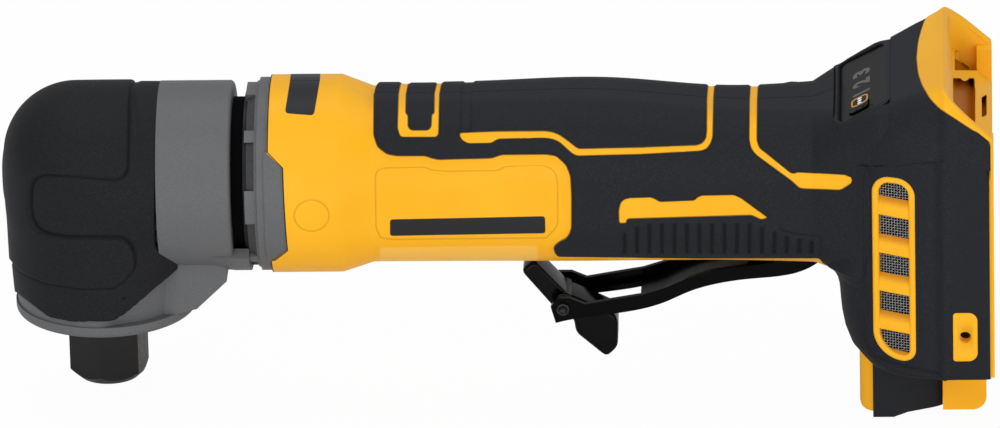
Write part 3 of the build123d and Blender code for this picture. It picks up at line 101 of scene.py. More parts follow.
class Finish:
    # A material with one Principled shader; constants go straight onto its sockets
    def __init__(self, name, **sockets):
        self.material = bpy.data.materials.new(name)
        self.material.use_nodes = True
        self.tree = self.material.node_tree
        self.shader = self.tree.nodes["Principled BSDF"]
        self.use(**sockets)

    def use(self, **sockets):
        self.feed(self.shader, {key.replace("_", " "): value for key, value in sockets.items()})
        return self.material

    def feed(self, node, sockets):
        for key, value in sockets.items():
            target = node.inputs[key]
            if isinstance(value, Wire):
                self.tree.links.new(value.socket, target)
            else:
                target.default_value = (*value, 1.0) if target.type == "RGBA" else value

    def node(self, kind, settings, sockets, out=0):
        made = self.tree.nodes.new(kind)
        for key, value in settings.items():
            setattr(made, key, value)
        self.feed(made, sockets)
        return Wire(self, made.outputs[out])

    def place(self):
        return self.node("ShaderNodeTexCoord", {}, {}, "Object")

    def noise(self, scale, detail=3.0):
        sockets = {"Vector": self.place(), "Scale": scale, "Detail": detail, "Roughness": 0.55}
        return self.node("ShaderNodeTexNoise", {}, sockets)

    def cells(self, scale):
        return self.node("ShaderNodeTexVoronoi", {}, {"Vector": self.place(), "Scale": scale})

    def ramp(self, value, low, high, first=0.0, last=1.0):
        sockets = {"Value": value, "From Min": low, "From Max": high, "To Min": first, "To Max": last}
        return self.node("ShaderNodeMapRange", {"interpolation_type": "SMOOTHSTEP"}, sockets)

    def blend(self, factor, first, second):
        return self.node("ShaderNodeMix", {"data_type": "RGBA"}, {0: factor, 6: first, 7: second}, 2)

    def attribute(self, name):
        return self.node("ShaderNodeAttribute", {"attribute_name": name}, {}, "Fac")

    def mark(self, name, low, high, first=0.0, last=1.0):
        return self.ramp(self.attribute(name), low, high, first, last)

    def mottle(self, scale, first, second, low=0.3, high=0.7, detail=3.0):
        # Two close tones, parted softly by noise
        return self.blend(self.ramp(self.noise(scale, detail), low, high), first, second)

    def bump(self, height, distance, strength):
        return self.node("ShaderNodeBump", {}, {"Height": height, "Distance": distance, "Strength": strength})


def dress(material, *names):
    for name in names:
        mesh = nodes[name].data
        mesh.materials.clear()
        mesh.materials.append(material)


# Camera: left side of the tool, from a little above, through a long lens; its picture's middle in pixels
lens = {
    "azimuth": 2.5, "elevation": 22, "roll": 1.4, "distance": 3.19, "focal": 396, "sensor": 36,
    "aim": (0.1151, 0, 0.0489), "middle": (500, 214),
}


def viewBack():
    # Direction from the tool to the camera
    azimuth, elevation = math.radians(lens["azimuth"]), math.radians(lens["elevation"])
    level = math.cos(elevation)
    return math.sin(azimuth) * level, -math.cos(azimuth) * level, math.sin(elevation)


def addObject(name, data):
    made = bpy.data.objects.new(name, data)
    bpy.context.scene.collection.objects.link(made)
    return made


def makeCamera():
    back = Vector(viewBack())
    data = bpy.data.cameras.new("camera")
    data.lens = lens["focal"]
    data.sensor_width = lens["sensor"]
    data.clip_end = 50.0
    camera = addObject("camera", data)
    roll = Matrix.Rotation(math.radians(-lens["roll"]), 4, "Z")
    turn = back.to_track_quat("Z", "Y").to_matrix().to_4x4() @ roll
    camera.matrix_world = Matrix.Translation(Vector(lens["aim"]) + back * lens["distance"]) @ turn
    bpy.context.scene.camera = camera


# Studio in metres: pale floor, white surround and four lamps aimed at the tool
studio = {
    "floorGap": 0.0002, "floorHalf": 2.2, "floorGlow": 0.97, "world": 0.5, "aim": (0.115, 0, 0.05),
    "lamps": (
        ("keyLamp", (-0.35, -0.9, 1.05), (0.9, 0.7), 4.8), ("fillLamp", (0.95, -0.8, 0.35), (0.8, 0.8), 2.5),
        ("topLamp", (0.15, 0.25, 0.95), (1.1, 0.35), 2.4), ("lowLamp", (0.1, -0.95, 0.1), (1.2, 0.18), 2.2),
    ),
}


def makeLamp(name, place, size, power):
    data = bpy.data.lights.new(name, "AREA")
    data.shape = "RECTANGLE"
    data.size, data.size_y = size
    data.energy = power
    toward = Vector(place) - Vector(studio["aim"])
    turn = toward.to_track_quat("Z", "Y").to_matrix().to_4x4()
    addObject(name, data).matrix_world = Matrix.Translation(Vector(place)) @ turn


def makeStudio():
    scene = bpy.context.scene
    scene.view_settings.view_transform = "Standard"
    world = bpy.data.worlds.new("studio")
    world.use_nodes = True
    scene.world = world
    tree = world.node_tree
    background = tree.nodes["Background"]
    background.inputs["Color"].default_value = (1.0, 1.0, 1.0, 1.0)
    path = tree.nodes.new("ShaderNodeLightPath")
    seen = tree.nodes.new("ShaderNodeMapRange")
    seen.inputs["To Min"].default_value = studio["world"]
    seen.inputs["To Max"].default_value = 1.0
    tree.links.new(path.outputs["Is Camera Ray"], seen.inputs["Value"])
    tree.links.new(seen.outputs["Result"], background.inputs["Strength"])
    for lamp in studio["lamps"]:
        makeLamp(*lamp)


def makeFloor():
    # Flat square under the lowest point of the tool
    half, low = studio["floorHalf"], cadBox[0][2] - studio["floorGap"]
    corners = [(-half, -half, low), (half, -half, low), (half, half, low), (-half, half, low)]
    mesh = bpy.data.meshes.new("floor")
    mesh.from_pydata(corners, [], [(0, 1, 2, 3)])
    floor = addObject("floor", mesh)
    paper = Finish("palePaper", Base_Color=(0.9, 0.9, 0.9), Roughness=0.9)
    tree = paper.tree
    seen = paper.node("ShaderNodeLightPath", {}, {}, "Is Camera Ray") * studio["floorGlow"]
    glow = tree.nodes.new("ShaderNodeEmission")
    mixed = tree.nodes.new("ShaderNodeMixShader")
    for number, socket in enumerate((seen.socket, paper.shader.outputs[0], glow.outputs[0])):
        tree.links.new(socket, mixed.inputs[number])
    tree.links.new(mixed.outputs[0], tree.nodes["Material Output"].inputs["Surface"])
    mesh.materials.append(paper.material)


makeCamera()
makeStudio()
makeFloor()
print("stage: camera and studio")


# Flat places in the photograph, in its pixels, seen on the left side
outlines = {
    "rubber": [
        (374.3, 40), (373.6, 133.5), (377.4, 145.7), (386.6, 153.3), (395.8, 155.2), (424.9, 155.2),
        (432.5, 157.9), (438.6, 159.2), (455, 158.7), (491.9, 157.7), (501, 154.2), (545.3, 153.8),
        (556.5, 155.6), (566.3, 165.4), (570.5, 176.7), (571.6, 196.3), (571.6, 228.6), (569.8, 235.6),
        (566.3, 240.5), (559.3, 244), (554.4, 248.2), (554, 252.5), (556.5, 258.6), (700, 260.4),
        (820, 260.2), (825, 285), (900, 275), (900, 40),
    ],
    "band": [
        (399.6, 40), (397.3, 127.3), (399.6, 135), (401.9, 136.5), (436.3, 136.5), (438.6, 133.5),
        (440.9, 40),
    ],
    "bandFloor": [
        (407.3, 40), (405.7, 112), (408, 113.6), (408, 125.8), (411.1, 129.2), (427.9, 129.2),
        (431, 125.8), (431.7, 112.8), (434, 112), (434.8, 40),
    ],
    "channel": [(461, 40), (461, 131.5), (471, 131), (471, 40)],
    "longLine": [
        (459.6, 131.8), (496, 130.4), (543.9, 130), (552.3, 131), (559.3, 133.9), (566.3, 138.8),
        (578.2, 148.3), (640, 146.9), (697.3, 144.4), (702.3, 142.3), (705.8, 137.3), (706.5, 130.3),
        (707.2, 40), (714.9, 40), (712.8, 136), (710.7, 143), (706.5, 148.6), (700.2, 150.7),
        (640, 154.2), (576.8, 155.9), (571.2, 152.8), (559.3, 141.6), (552.3, 138.4), (543.9, 137.4),
        (498.2, 138.4), (491.2, 142.7), (468, 143), (462.5, 140.2), (459.6, 136),
    ],
    "shortLine": [
        (750, 40), (749, 138.8), (750.7, 147.2), (754.2, 152.8), (759, 157), (791.4, 181.5),
        (799.8, 189.3), (840.9, 190.8), (851.2, 184.2), (851.6, 178.6), (846, 175.2), (797, 172.4),
        (794.2, 173.8), (790.7, 173.1), (764.7, 151.4), (759.8, 147.9), (757, 140.2), (758, 40),
    ],
    "patch": [
        (618.9, 224.1), (618.5, 210.4), (620.4, 203.3), (623.9, 199.8), (629.5, 198.4), (651, 197.7),
        (656, 199.8), (659.5, 202.2), (694.5, 200.8), (697.3, 197.7), (701.6, 195.9), (733.8, 195.3),
        (740.8, 198.4), (768.2, 218.4), (761.2, 220.4), (751.4, 215.9), (630, 219.4), (626.7, 220),
        (626.7, 223.7),
    ],
    "panel": [
        (375.1, 176.3), (377.4, 170.2), (385, 167.9), (424.9, 167.1), (431, 170.2), (447, 171.5),
        (498.2, 170.8), (504.6, 166.8), (543.9, 166.1), (552.3, 169.6), (556.5, 176.7), (557.6, 186.5),
        (557.6, 224.4), (555.8, 230), (550.9, 234.9), (546.7, 240.5), (440, 241.5), (392.7, 242.1),
        (380.5, 240.6), (375.9, 229.9),
    ],
    "pill": [(389.8, 221), (545, 217.6), (545.4, 235.6), (389.8, 238.5)],
    "plate": [(291, 40), (290.5, 78), (284.8, 113.6), (313.9, 115.9), (320.3, 79), (321, 40)],
    "strip": [(379.7, 250.5), (536.8, 248.2), (540, 280), (379.7, 280)],
    "grain": [
        (471, 40), (471, 130), (545, 128), (560, 131), (579, 146), (697, 142.5),
        (704, 136), (705, 40),
    ],
    "rearGrain": [(759.5, 40), (758.5, 139), (766, 150.5), (796, 171), (900, 175), (900, 40)],
}


def metres(points):
    # From millimetres about the body axis to the shared frame
    return points / 1000.0 + np.array((0.0, 0.0, axisHeight / 1000.0))


def together(*parts):
    return np.stack(np.broadcast_arrays(*parts), axis=-1)


def read(table, x):
    # Value of a table of pairs at x, straight between its rows
    return np.interp(x, *zip(*table))


def photoPlace(points):
    # Pixel of the photograph under each point in millimetres, by the camera's own axes
    azimuth, roll = math.radians(lens["azimuth"]), math.radians(lens["roll"])
    back = np.array(viewBack())
    level = np.array((math.cos(azimuth), math.sin(azimuth), 0.0))
    tall = np.cross(back, level)
    right = math.cos(roll) * level - math.sin(roll) * tall
    up = math.sin(roll) * level + math.cos(roll) * tall
    away = metres(points) - np.array(lens["aim"])
    scale = lens["focal"] / (lens["sensor"] / 1000.0) / (lens["distance"] - away @ back)
    return lens["middle"][0] + scale * (away @ right), lens["middle"][1] - scale * (away @ up)


def soften(outline, reach):
    # Each corner becomes a short curve: a quadratic through points one reach before and after it
    corners = np.array(outline)
    before = np.roll(corners, 1, axis=0) - corners
    after = np.roll(corners, -1, axis=0) - corners
    shorten = [np.minimum(reach / np.linalg.norm(side, axis=1), 0.45)[:, None] for side in (before, after)]
    first = corners + before * shorten[0]
    last = corners + after * shorten[1]
    share = np.linspace(0.0, 1.0, 5)[None, :, None]
    rest = 1.0 - share
    curve = rest**2 * first[:, None] + 2.0 * share * rest * corners[:, None] + share**2 * last[:, None]
    return curve.reshape(-1, 2)


def edgeGap(place, first, last):
    # Distance in pixels to one straight edge
    (x, y), (ax, ay), (bx, by) = place, first, last
    run = np.clip(((x - ax) * (bx - ax) + (y - ay) * (by - ay)) / ((bx - ax) ** 2 + (by - ay) ** 2), 0.0, 1.0)
    return np.hypot(x - ax - run * (bx - ax), y - ay - run * (by - ay))


def alongLine(place, corners):
    # Distance in pixels to an open line
    return np.minimum.reduce([edgeGap(place, *edge) for edge in zip(corners[:-1], corners[1:])])


def inside(place, outline, reach=0.0):
    # Distance in pixels to a closed outline, positive inside: the nearest edge, signed by the crossings
    corners = soften(outline, reach) if reach else np.array(outline)
    x, y = place
    near = np.inf
    odd = np.zeros(x.shape, bool)
    for first, last in zip(corners, np.roll(corners, -1, axis=0)):
        near = np.minimum(near, edgeGap(place, first, last))
        (ax, ay), (bx, by) = first, last
        crossed = (ay > y) != (by > y)
        odd ^= crossed & (x < ax + (y - ay) * (bx - ax) / (by - ay if by != ay else 1.0))
    return np.where(odd, near, -near)


def rounded(distance, reach):
    # Quarter circle: 0 at the edge, 1 once the distance passes the reach
    along = np.clip(distance / reach, 0.0, 1.0)
    return np.sqrt(1.0 - (1.0 - along) ** 2)


def eased(value, low, high):
    # Smooth step from 0 at low to 1 at high
    share = np.clip((value - low) / (high - low), 0.0, 1.0)
    return share * share * (3.0 - 2.0 * share)


def gridMesh(name, points, material, body, slot, flip=False, wrap=False, keep=None, marks=None):
    # Rows by columns of points in millimetres about the body axis; every cell is one quad
    rows, columns = points.shape[:2]
    index = np.arange(rows * columns).reshape(rows, columns)
    if wrap:
        index = np.concatenate([index, index[:, :1]], axis=1)
    faces = np.stack([index[:-1, :-1], index[:-1, 1:], index[1:, 1:], index[1:, :-1]], axis=-1).reshape(-1, 4)
    if flip:
        faces = faces[:, ::-1]
    if keep is not None:
        faces = faces[keep.ravel()[faces].all(axis=1)]
    used, faces = np.unique(faces, return_inverse=True)
    mesh = bpy.data.meshes.new(name)
    mesh.from_pydata(metres(points.reshape(-1, 3)[used]).tolist(), [], faces.reshape(-1, 4).tolist())
    mesh.polygons.foreach_set("use_smooth", np.ones(len(mesh.polygons), bool))
    for key, values in (marks or {}).items():
        mark = mesh.attributes.new(key, "FLOAT", "POINT")
        mark.data.foreach_set("value", values.ravel()[used].astype(np.float32))
    mesh.materials.append(material)
    piece = addObject(name, mesh)
    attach(piece, body)
    return piece


def curveThrough(x, knots, values):
    # Natural cubic through a few knots: its second slopes come from one small linear system
    gaps = np.diff(knots)
    count = len(knots)
    system = np.eye(count)
    rate = np.zeros(count)
    middle = np.arange(1, count - 1)
    system[middle, middle - 1] = gaps[:-1]
    system[middle, middle] = 2.0 * (gaps[:-1] + gaps[1:])
    system[middle, middle + 1] = gaps[1:]
    rate[middle] = 6.0 * np.diff(np.diff(values) / gaps)
    bend = np.linalg.solve(system, rate)
    slot = np.clip(np.searchsorted(knots, x) - 1, 0, count - 2)
    gap = gaps[slot]
    left, right = (knots[slot + 1] - x) / gap, (x - knots[slot]) / gap
    curve = left * values[slot] + right * values[slot + 1]
    return curve + ((left**3 - left) * bend[slot] + (right**3 - right) * bend[slot + 1]) * gap**2 / 6.0


mirror = np.array((1.0, -1.0, 1.0))


def wholeTurn(count):
    return np.linspace(0.0, 2.0 * math.pi, count, endpoint=False)


def loopTurns(count):
    # Whole turn in equal steps that miss the four sides' directions
    return (np.arange(count) + 0.5) * 2.0 * math.pi / count


# Moulded grip: barrel, shoulder and overmoulded handle as one skin for each side, in millimetres; rows of X,
# half width, top, bottom and corner radius; ring, slit, flutes and step in the photograph's pixels
grip = {
    "front": 49.53, "end": 229.5, "columns": 408, "rows": 201, "pocket": 12.6, "skin": 1.2,
    "shoulder": (70, 79),
    "barrel": (70, 28.4, 28.4, -28.4, 27.8),
    "handle": np.array((
        (79, 26, 25, -25.6, 22), (112.02, 25.9, 24.9, -25.4, 21),
        (147.58, 25.7, 25.2, -25.2, 19.5), (180.6, 25, 22.3, -25, 18),
        (206, 25.4, 22.5, -25, 16),
    )),
    "ramp": np.array((
        (206, 25.4, 22.5, -25, 16), (222, 31.5, 28.3, -25, 9),
        (238, 37.2, 34.3, -25, 10), (245, 38.6, 37.4, -25, 10.5),
    )),
    "lobe": ((-16, 49.53), (-12, 53.93), (14, 54.53), (18.4, 50.33)),
    "proud": 0.14, "sunk": 0.55, "lip": 2.8, "pocketSink": 1.6, "endSink": 1, "throatSink": 1,
    "panelSink": 0.1, "ringSink": 0.1, "floorSink": 0.2, "channelSink": 0.4, "stepSink": 0.3,
    "plateRise": 0.06, "well": 3.3, "wellDeep": 2.2,
    "screws": ((93, 10), (93, -15), (142, 9), (142, -15), (200, 18)),
    "ring": (311.6, 215.6), "ringStretch": 1.12, "ringSize": 15.5, "slit": ((468.5, 137), (489.5, 137.2)),
    "flutes": {
        "first": 624.5, "pitch": 12.5, "half": 2.2, "low": 255, "depth": 0.6,
        "tops": (233, 227) + (223.5,) * 9 + (227, 232, 236.3, 239, 240.5),
    },
    "step": (
        (779.4, 228.6), (782.9, 231.4), (795.6, 234.9), (816.6, 236.3), (820.1, 237.7), (821.1, 242.6),
        (821.1, 258),
    ),
}


def shoulderShare(x):
    # 0 on the barrel, 1 on the handle, straight between
    first, last = grip["shoulder"]
    return np.clip((x - first) / (last - first), 0.0, 1.0)


def gripSection(x):
    # Half width, top, bottom and corner radius at each X: cylinder, straight shoulder, two smooth curves
    handle, ramp = grip["handle"], grip["ramp"]
    sizes = []
    for column in range(1, 5):
        barrel = grip["barrel"][column]
        shoulder = barrel + (handle[0, column] - barrel) * shoulderShare(x)
        rear = [curveThrough(x, rows[:, 0], rows[:, column]) for rows in (handle, ramp)]
        sizes.append(np.where(x < handle[0, 0], shoulder, np.where(x < ramp[0, 0], *rear)))
    return sizes


def gripPoints(x, share):
    # Round a rounded rectangle from the top middle to the paddle pocket: points and outward directions
    half, top, bottom, corner = gripSection(x)
    middle, tall = (top + bottom) / 2.0, (top - bottom) / 2.0
    flat, side = half - corner, tall - corner
    quarter = corner * math.pi / 2.0
    under = np.where(
        flat >= grip["pocket"],
        quarter + flat - grip["pocket"],
        corner * np.arccos(np.clip((grip["pocket"] - flat) / corner, -1.0, 1.0)),
    )
    walk = share * (flat + quarter + 2.0 * side + under)
    turn = np.clip((walk - flat) / corner, 0.0, math.pi / 2.0)
    lowTurn = np.clip((walk - flat - quarter - 2.0 * side) / corner, 0.0, math.pi / 2.0)
    down = np.clip(walk - flat - quarter, 0.0, 2.0 * side)
    back = np.clip(walk - flat - 2.0 * quarter - 2.0 * side, 0.0, None)
    angle = turn + lowTurn
    outY, outZ = -np.sin(angle), np.cos(angle)
    edgeY = -np.clip(walk, 0.0, flat) + back
    edgeZ = middle + side - down
    return together(x, edgeY + corner * outY, edgeZ + corner * outZ), together(0.0, outY, outZ)


def gripHeights(place, x):
    # Height over the handle's outside and the marks that the finish reads, from distances to the outlines
    def depth(name, reach=0.0):
        return inside(place, outlines[name], reach)

    cover = depth("rubber", 3.0)
    height = (grip["proud"] - grip["skin"] * shoulderShare(x)) * (1.0 - rounded(cover, grip["lip"]))
    panel = depth("panel", 3.0)
    height -= grip["panelSink"] * eased(panel, -0.6, 0.6)
    ringX, ringY = grip["ring"]
    ring = np.abs(np.hypot((place[0] - ringX) / grip["ringStretch"], place[1] - ringY) - grip["ringSize"])
    height -= grip["ringSink"] * (1.0 - eased(ring, 0.4, 1.3))
    floor = depth("bandFloor", 2.0)
    band = np.minimum(depth("band", 2.0), -floor)
    lines = np.maximum.reduce([depth("longLine", 2.5), depth("shortLine", 3.0), band, depth("patch", 2.0)])
    slit = 1.3 - alongLine(place, grip["slit"])
    sunk = eased(lines, -1.5, 0.4) * (cover > 0.0)
    height = height * (1.0 - sunk) - grip["sunk"] * sunk
    height -= grip["floorSink"] * eased(floor, -0.4, 0.8)
    channel = depth("channel")
    height -= grip["channelSink"] * eased(channel, -0.8, 0.8)
    step = alongLine(place, grip["step"])
    height -= grip["stepSink"] * (1.0 - eased(step, 0.3, 1.6))
    flutes = grip["flutes"]
    half = flutes["half"]
    slotMark = np.full(x.shape, -50.0)
    for number, top in enumerate(flutes["tops"]):
        centre = flutes["first"] + flutes["pitch"] * number
        gap = alongLine(place, ((centre, top + half), (centre, flutes["low"] - half)))
        slotMark = np.maximum(slotMark, half - gap)
    height -= flutes["depth"] * eased(slotMark, -0.5, 1.1)
    dark = np.maximum(depth("plate", 4.0), depth("pill", 3.0))
    height += grip["plateRise"] * eased(dark, -0.4, 0.4)
    grain = np.maximum(depth("grain", 3.0), depth("rearGrain", 3.0))
    marks = {
        "rubberMark": np.minimum(cover, -np.maximum(lines, slit)), "darkMark": dark, "slotMark": slotMark,
        "grainMark": np.minimum(grain, -lines), "paleMark": depth("strip", 2.0), "panelMark": panel,
        "ringMark": ring, "stepMark": np.minimum(step, np.abs(channel)),
    }
    return height, marks


def makeGrip(material):
    columns = np.linspace(grip["front"], grip["end"], grip["columns"])
    x, share = np.meshgrid(columns, np.linspace(0.0, 1.0, grip["rows"]))
    drop = -gripPoints(x, share)[0][..., 2]
    beside = (drop < grip["lobe"][0][0]) | (drop > grip["lobe"][-1][0])
    lobe = np.where(beside, grip["front"], read(grip["lobe"], drop))
    barrelEnd = grip["shoulder"][0]
    x = x + (lobe - grip["front"]) * np.clip((barrelEnd - x) / (barrelEnd - grip["front"]), 0.0, 1.0)
    base, out = gripPoints(x, share)
    height, marks = gripHeights(photoPlace(base), x)
    # Distance from the barrel's front edge, which carries the painted shade of the gap at the collar
    marks["gapShadeMark"] = x - lobe
    seam = np.clip(1.0 - share * (grip["rows"] - 1), 0.0, 1.0)
    height -= seam * np.where(marks["rubberMark"] > 0.0, 0.3, 0.1)
    height -= grip["pocketSink"] * eased(share, 1.0 - 1.5 / grip["rows"], 1.0)
    height -= grip["endSink"] * eased(x, grip["end"] - 5.0, grip["end"])
    height -= grip["throatSink"] * eased(x, 206.5, 209.0) * eased(-base[..., 2], 19.0, 23.0)
    points = base + out * height[..., None]
    slope = math.radians(display["slope"])
    along = (points[..., 0] - display["origin"][0]) * math.cos(slope)
    along = along + (points[..., 2] - display["origin"][2]) * math.sin(slope)
    halfAlong, halfAcross = display["half"]
    window = np.maximum(np.abs(along - display["middle"][0]) - halfAlong, np.abs(points[..., 1]) - halfAcross)
    keep = (window > 0.5) | (points[..., 2] < 10.0)
    place = (material, "housing", "grip_rubber")
    left = gridMesh("gripSkinLeft", points, *place, keep=keep, marks=marks)
    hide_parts("grip_rubber_left")
    hole = grip["well"]
    for spotX, spotZ in grip["screws"]:
        away = points[..., ::2] - np.array((spotX, spotZ))
        span = np.linalg.norm(away, axis=-1)
        near = (span < hole + 0.45) & (span > 0.01)
        pull = np.where(near, hole / np.maximum(span, 0.01), 1.0)
        keep &= span > hole - 0.35
        points[..., ::2] = np.array((spotX, spotZ)) + away * pull[..., None]
    right = gridMesh("gripSkinRight", points * mirror, *place, flip=True, keep=keep, marks=marks)
    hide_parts("grip_rubber_right")


def makeWells(material):
    # Short tubes round the screws on the right side, from the skin's edge inwards
    turn, depth = np.meshgrid(wholeTurn(36), np.linspace(0.0, 1.0, 3))
    for number, (spotX, spotZ) in enumerate(grip["screws"]):
        x, z = spotX + grip["well"] * np.cos(turn), spotZ + grip["well"] * np.sin(turn)
        half, top, bottom, corner = gripSection(x)
        lift = np.clip(np.abs(z - (top + bottom) / 2.0) - (top - bottom) / 2.0 + corner, 0.0, None)
        y = half - corner + np.sqrt(corner**2 - lift**2)
        points = together(x, y - 0.05 - grip["wellDeep"] * depth, z)
        gridMesh("screwWell%d" % (number + 1), points, material, "housing", "grip_rubber", wrap=True)


# Rubber boot over the gear head, in millimetres about the crossing of the two axes
boot = {
    "middle": (3, 0, -5), "rows": 170, "columns": 440, "angles": (48, 179.4), "search": (5, 70),
    "head": ((-37.27, 26.7), (-27, 27.3), (2, 27.5), (6.9, 27.5)), "dome": 15.3, "ring": 12.2,
    "neck": 26.7, "nose": 20.2, "noseStart": -7.2, "blend": 1, "soft": 1.5,
    "raise": 0.85, "band": 0.5, "crease": 0.4, "edgeSink": (0.7, 1.2), "hole": (124, 300), "holeSink": 0.9,
    "traceSink": 0.12, "trace": ((65, 301), (88, 302.5), (112, 301), (113, 310)),
    "rim": (-37.4, -34, -29), "rimInset": 0.9, "rimTurn": (70, 290), "rimEnds": 3,
    "scoop": ((43.3, 25.4), (44.6, 26), (46, 26.8), (47.4, 27.6)),
    "edge": [
        (161.5, 40), (160.5, 100), (157.5, 160), (155.5, 215), (156, 246), (160, 252),
        (174, 260), (179.5, 266), (178.5, 270.5), (126, 315), (113, 323), (72, 323.5),
        (48, 318.5), (30, 305), (15, 293.5), (-60, 234), (-60, 40),
    ],
    "pads": [
        (130, 40), (128.5, 100), (127.5, 168), (124, 176), (117, 179), (100, 178),
        (46, 173), (36, 176), (30.5, 184), (29.5, 205), (31.5, 220), (38, 230),
        (48, 235), (66, 238), (122, 239), (129, 243), (133, 250), (135, 262),
        (133, 270), (121, 283), (113, 287.5), (80, 288), (46, 282), (22, 271),
        (12, 260), (2, 246), (-60, 200), (-60, 40),
    ],
}


def softLarger(first, second, reach):
    # The larger of two distances, rounded off where they are close
    return reach * np.logaddexp(*(np.clip(value, -30.0, 30.0) / reach for value in (first, second)))


def bootDepth(points):
    # Below zero inside the boot: turned head joined softly to a round neck and nose, cut flat below
    x, y, z = np.moveaxis(points, -1, 0)
    reach = np.hypot(x, y)
    bottom, top = boot["head"][0][0], boot["head"][-1][0]
    wall = reach - read(boot["head"], z)
    crown = np.hypot(np.clip(reach - boot["ring"], 0.0, None), np.clip(z - top, 0.0, None)) - boot["dome"]
    head = np.where(z > top, crown, wall)
    ahead = np.clip(boot["noseStart"] - x, 0.0, boot["nose"])
    size = boot["neck"] - boot["nose"] + np.sqrt(boot["nose"] ** 2 - ahead**2)
    neck = softLarger(np.hypot(y, z) - size, wall - 30.0 * np.clip(x, 0.0, 1.0), boot["soft"])
    return np.maximum(-softLarger(-head, -neck, boot["blend"]), bottom - z)


def makeBoot(material):
    # Rays from one point inside, at an angle from +X and round the X axis; each ray's length found by halving
    angle = np.radians(np.linspace(*boot["angles"], boot["rows"]))
    turn, angle = np.meshgrid(wholeTurn(boot["columns"]), angle)
    ray = together(np.cos(angle), np.sin(angle) * np.sin(turn), np.sin(angle) * np.cos(turn))
    low, high = (np.full(angle.shape, value) for value in boot["search"])
    middle = np.array(boot["middle"])
    for _ in range(30):
        half = (low + high) / 2.0
        out = bootDepth(middle + ray * half[..., None]) > 0.0
        low, high = np.where(out, low, half), np.where(out, half, high)
    base = middle + ray * low[..., None]
    x, y = photoPlace(together(base[..., 0], -np.abs(base[..., 1]), base[..., 2]))
    edge = inside((x, y), boot["edge"], 3.0)
    pads = inside((x, y), boot["pads"], 4.0)
    crease = np.abs(pads + 1.2)
    hole = np.hypot(x - boot["hole"][0], y - boot["hole"][1])
    trace = alongLine((x, y), boot["trace"])
    height = boot["raise"] * rounded(pads + 0.6, 3.2) - boot["crease"] * (1.0 - eased(crease, 0.5, 2.1))
    height += boot["band"] * eased(x, 133.0, 137.0) * (1.0 - eased(y, 95.0, 135.0))
    height -= boot["edgeSink"][0] * (1.0 - rounded(edge, 3.0)) + boot["edgeSink"][1] * eased(-edge, 0.0, 2.0)
    height -= boot["holeSink"] * (1.0 - eased(hole, 0.8, 1.8))
    height -= boot["traceSink"] * (1.0 - eased(trace, 0.3, 1.2))
    under = base[..., 2] < boot["head"][0][0] + 0.1
    height = np.where(under & (edge > 0.0), 0.0, height)
    points = base + ray * height[..., None]
    tip = np.broadcast_to(points[-1].mean(axis=0), points[-1:].shape)
    crease, hole, edge = (np.concatenate([values, values[-1:]]) for values in (crease, hole, edge))
    marks = {"creaseShadeMark": crease, "holeShadeMark": hole}
    piece = gridMesh("bootSkin", np.concatenate([points, tip]), material, "housing", "boot_rubber",
                     flip=True, wrap=True, keep=edge > -4.0, marks=marks)
    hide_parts("head_boot")


def makeCase(material, shade):
    # Rim of the gear case under the boot's edge and a darker ring of painted shade for the collar's scoops,
    # each turned about an axis
    turn = np.radians(np.linspace(*boot["rimTurn"], 120))
    height = np.array(boot["rim"])[:, None]
    reach = read(boot["head"], height) - boot["rimInset"] - boot["rimEnds"] * eased(np.cos(turn), -0.05, 0.34)
    points = together(reach * np.cos(turn), reach * np.sin(turn), height)
    gridMesh("caseRim", points, material, "housing", "case_metal")
    turn = wholeTurn(160)
    along, reach = np.array(boot["scoop"]).T[..., None]
    points = together(along, reach * np.cos(turn), reach * np.sin(turn))
    gridMesh("collarScoopShade", points, shade, "housing", "case_grey", flip=True, wrap=True)


def roundedLoop(middle, half, corners, turn):
    # Four corner circles, each with its own radius, walked once round; straight sides join their ends
    corner = np.array(corners)[(turn // (math.pi / 2.0)).astype(int) % 4]
    side = np.stack([np.cos(turn), np.sin(turn)], axis=-1)
    return np.array(middle) + np.sign(side) * (np.array(half) - corner[..., None]) + corner[..., None] * side


# Speed display on the ramp: its plane in millimetres, along the slope and across the tool
display = {
    "origin": (219.3, 0, 26.7), "slope": 28, "middle": (0.7, 0), "half": (7.3, 24), "corner": 3,
    "bead": (
        (-0.1, -0.9, 0), (-0.1, -0.2, 1), (0.12, 0.12, 1), (0.6, 0.26, 1), (1.3, 0.2, 1),
        (2, -0.3, 1),
    ),
    "digits": (("1", -7, 1.61), ("2", 0.9, 4.6), ("3", 8.7, 4.6)), "tall": 5.6, "along": 0.6, "bold": 0.045,
    "face": -0.86, "ring": ((2.2, 2.5), (2.75, 3.05)), "buttonTop": 0.9, "button": (1.05, -17.6),
    "ringBead": ((0, -0.04), (0.15, 0.1), (0.5, 0.14), (0.85, 0.1), (1, -0.04)),
    "dots": (-1.7, 0, 1.7), "dot": (0.75, 0.5), "dome": 0.18,
}


def onDisplay(along, across, lift):
    slope = math.radians(display["slope"])
    rise, level = math.sin(slope), math.cos(slope)
    x, y, z = display["origin"]
    return together(x + along * level - lift * rise, y + across, z + along * rise + lift * level)


def rampLift(along, across):
    # Height of the handle's ramp over the display plane, found by stepping outward along its normal
    lift = np.zeros(along.shape)
    slope = math.radians(display["slope"])
    for _ in range(6):
        place = onDisplay(along, across, lift)
        half, top, bottom, corner = gripSection(place[..., 0])
        drop = np.clip(np.abs(place[..., 1]) - half + corner, 0.0, corner)
        surface = top - corner + np.sqrt(corner**2 - drop**2)
        lift = lift + (surface - place[..., 2]) * math.cos(slope)
    return lift


